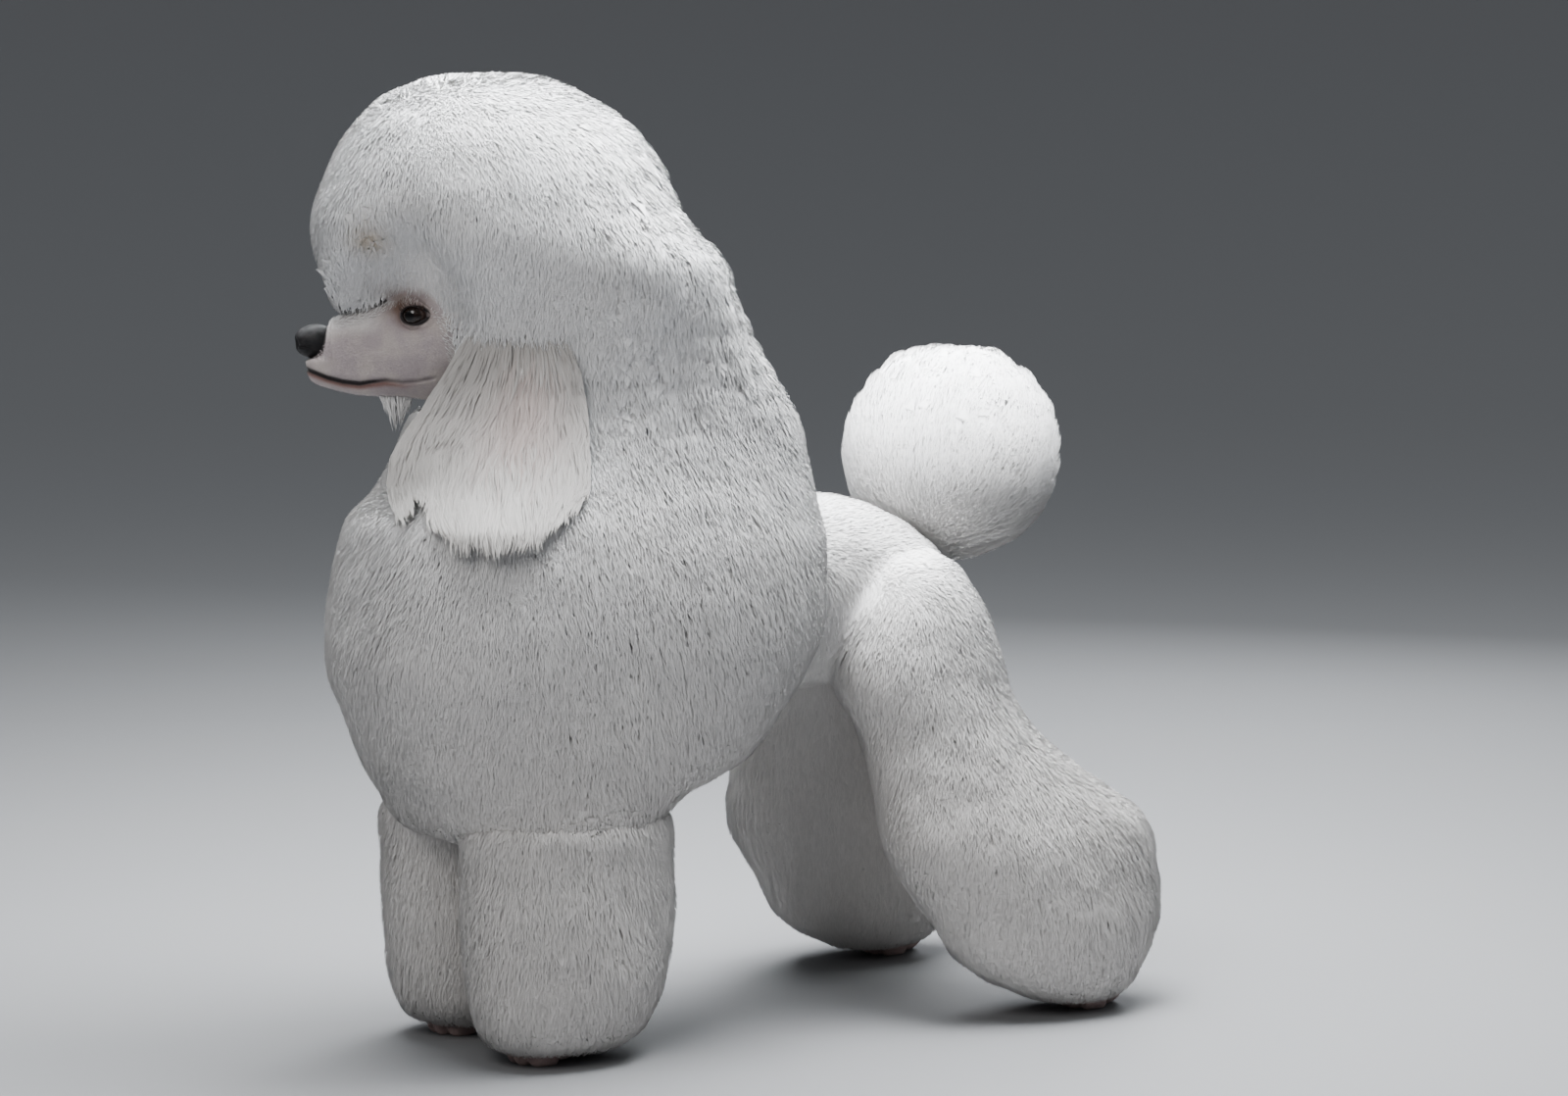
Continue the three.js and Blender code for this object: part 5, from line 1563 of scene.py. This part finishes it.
def lashes():
    # dark lashes on the upper lids: they leave the rim outwards and sweep up and forward
    paths, outs = [], []
    steps = np.linspace(0, 1, 5)[None]
    for side in (1, -1):
        theta = rng.uniform(0.35, 2.3, lash["count"])
        along, rise = lidOutline(theta)
        f, u = along * 1.05, rise * 1.08
        length = rng.uniform(*lash["length"], len(theta))[:, None]
        out = ballLeft(f, u, 1.6)[:, None] + length * (0.85 * steps - 0.25 * steps**2)
        above = eye["up"] + u[:, None] + length * (0.15 * steps + 0.55 * steps**2)
        sweep = length * (0.35 * steps**1.5) * (0.4 + np.cos(theta))[:, None]
        ahead = eye["forward"] + f[:, None] + sweep + rng.normal(0, 0.5, (len(theta), 1)) * steps
        paths.append(place(headPoint(ahead, side * out, above)))
        outs.append(np.repeat((headLeft * side)[None], len(theta), 0))
    paths, outs = np.concatenate(paths), np.concatenate(outs)
    uv = np.stack([rng.uniform(0.1, 0.9, len(paths)), rng.uniform(0.1, 0.9, len(paths))], 1)
    radii = lash["radius"] * np.array([1, 0.9, 0.7, 0.45])
    made = hairMesh("lashes", paths, radii, 1.0, np.cross(outs, upward), outs, uv, 0.0,
                    (0.0, 0.25, 0.5, 0.75, 1.0))
    made.data.materials.append(makeDarkHairMaterial(lashLook))
    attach(made, "root")


lashes()
print("face finished")


# Claws, and the long hair under the jaw
claw = dict(length=11.0, drop=6.0, radius=2.9, setBack=9, low=2.5)
clawLook = dict(dark=(0.035, 0.028, 0.026), light=(0.11, 0.085, 0.075), roughness=0.4)


def claws():
    # one short curved claw at the front of each toe: a tapering rod that bends down to its tip
    parts = []
    for side in (-1, 1):
        for size, legShift in ((feet["fore"], (0, 0)), (feet["hind"], hindShift[side])):
            for front, across, _ in toePlaces(size, side, legShift):
                high = size["height"] * 0.36 - claw["low"]
                root = np.array([front + claw["setBack"] - 0.17 * size["length"], across, high])

                def pointAt(t, angle, root=root):
                    t, angle = np.broadcast_arrays(t, angle)
                    radius = claw["radius"] * (1 - t**2.2) ** 0.8
                    middle = root + np.stack([-claw["length"] * t, 0 * t, -claw["drop"] * t**2], -1)
                    ring = np.stack([0 * t, 0.8 * radius * np.cos(angle), radius * np.sin(angle)], -1)
                    return place(middle + ring)

                parts.append(closedLoft(pointAt, 0, 0.985, 14, 16))
    made = meshObject("claws", *joined(parts))
    weld(made)
    material, tree, shader = shaderOf("clawHorn")
    tone = mapRange(tree, noiseOf(tree, 300, 2, (0.3, 1, 1)), 0.35, 0.65)
    colour = mixColour(tree, tone, clawLook["dark"], clawLook["light"])
    feed(tree, shader, {"Base Color": colour, "Roughness": clawLook["roughness"]})
    made.data.materials.append(material)
    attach(made, "root")


wisp = dict(locks=200, roots=(7, 45), under=-83, width=0.8)
wispTips = np.array([[33, -110], [27, -126], [21, -119], [14, -106], [24, -131]])


def throatWisp():
    # thin tufts of long hair that hang from under the jaw, each drawn to its own point
    count = wisp["locks"]
    f0 = rng.uniform(*wisp["roots"], count)
    l0 = rng.uniform(-7, 7, count)
    tips = wispTips[np.clip(((45 - f0) / 38 * 4 + rng.uniform(-0.7, 0.7, count)).astype(int), 0, 4)]
    reach = rng.uniform(0.3, 1.0, count) ** 0.6
    s = np.linspace(0, 1, 5)[None]
    f1 = tips[:, 0] + (f0 - tips[:, 0]) * 0.3 * (1.15 - reach) + rng.normal(0, 0.8, count)
    u1 = wisp["under"] + (tips[:, 1] - wisp["under"]) * reach + rng.normal(0, 2, count)
    bend = s**0.9
    f = f0[:, None] + (f1 - f0)[:, None] * bend + np.sin(s * 5 + l0[:, None]) * 1.1 * s
    l = l0[:, None] * (1 - 0.6 * bend) + np.sin(s * 4 + f0[:, None]) * 1.2 * s
    u = wisp["under"] + (u1 - wisp["under"])[:, None] * s
    paths = place(headPoint(f, l, u))
    away = unit(headVector((f0 - 25) * 0.3, np.where(np.abs(l0) < 2, 2, l0), -2.0))
    uv = np.stack([0.45 + f0 * 0.002, 0.5 + l0 * 0.003], 1)
    radii = wisp["width"] * np.array([0.9, 1, 0.85, 0.5])
    made = hairMesh("coatThroat", paths, radii, 0.7, np.cross(away, upward), away, uv, 0.6,
                    (0.5, 0.8, 0.9, 1.0, 1.0))
    made.data.materials.append(coatMaterial)
    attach(made, "root")


claws()
throatWisp()
print("claws and throat finished")

# Camera at the photograph's angle
view = dict(place=(-2.248632, -3.921472, 1.040), turn=33.5, down=6.4317, lens=99.0)
cameraData = bpy.data.cameras.new("camera")
cameraData.lens = view["lens"]
camera = bpy.data.objects.new("camera", cameraData)
bpy.context.collection.objects.link(camera)
camera.location = Vector(np.array(view["place"]) - shift * mm)
camera.rotation_euler = (math.radians(90 - view["down"]), 0, -math.radians(view["turn"]))
bpy.context.scene.camera = camera

# Plain pale floor that curves up far away, and soft light from above
studio = dict(floor=(0.16, 0.16, 0.164), reach=8, curve=5, sky=0.8, low=0.09, skyColour=(0.90, 0.95, 1.0))
lights = dict(
    key=dict(spot=(0.2, 0.2, 2.15), target=(0.05, 0, 0.7), size=2.4, power=250, colour=(0.95, 0.98, 1.0)),
    top=dict(spot=(0.12, -0.16, 1.7), target=(0.04, -0.05, 0.9), size=0.7, power=64, colour=(0.94, 0.97, 1.0)),
    front=dict(spot=(-2.3, -1.5, 2.3), target=(-0.1, 0, 0.8), size=1.6, power=40, colour=(1.0, 0.98, 0.95)),
    back=dict(spot=(2.3, 1.7, 1.7), target=(0.2, 0, 0.8), size=1.4, power=85, colour=(0.92, 0.96, 1.0)),
)
turns = np.linspace(0, 2 * math.pi, 96, endpoint=False)
bend = np.linspace(0, math.pi / 2 * 0.8, 14)
reach = np.concatenate([[0.0, 3, 7], studio["reach"] + studio["curve"] * np.sin(bend)])[:, None]
level = np.concatenate([[0, 0, 0], studio["curve"] * (1 - np.cos(bend))])[:, None]
rings = np.stack([reach * np.cos(turns), reach * np.sin(turns), level + 0 * turns], -1)
floor = meshObject("floor", rings.reshape(-1, 3), gridFaces(len(reach), len(turns))[:, ::-1])
floorMaterial, floorTree, floorShader = shaderOf("paleFloor")
feed(floorTree, floorShader, {"Base Color": studio["floor"], "Roughness": 0.9})
floor.data.materials.append(floorMaterial)


for name, light in lights.items():
    data = bpy.data.lights.new(name, "AREA")
    data.shape = "DISK"
    data.size = light["size"]
    data.energy = light["power"]
    data.color = light["colour"]
    lamp = bpy.data.objects.new(name, data)
    bpy.context.collection.objects.link(lamp)
    lamp.location = light["spot"]
    towards = Vector(light["target"]) - Vector(light["spot"])
    lamp.rotation_euler = towards.to_track_quat("-Z", "Y").to_euler()

# Light of the surroundings, stronger from above
world = bpy.data.worlds.new("studio")
world.use_nodes = True
sky = world.node_tree
direction = sky.nodes.new("ShaderNodeTexCoord").outputs["Generated"]
heights = feed(sky, sky.nodes.new("ShaderNodeSeparateXYZ"), {"Vector": direction}).outputs["Z"]
strength = mapRange(sky, heights, 0.1, 0.9, studio["low"], studio["sky"])
feed(sky, sky.nodes["Background"], {"Color": studio["skyColour"], "Strength": strength})
bpy.context.scene.world = world
print("stage finished")
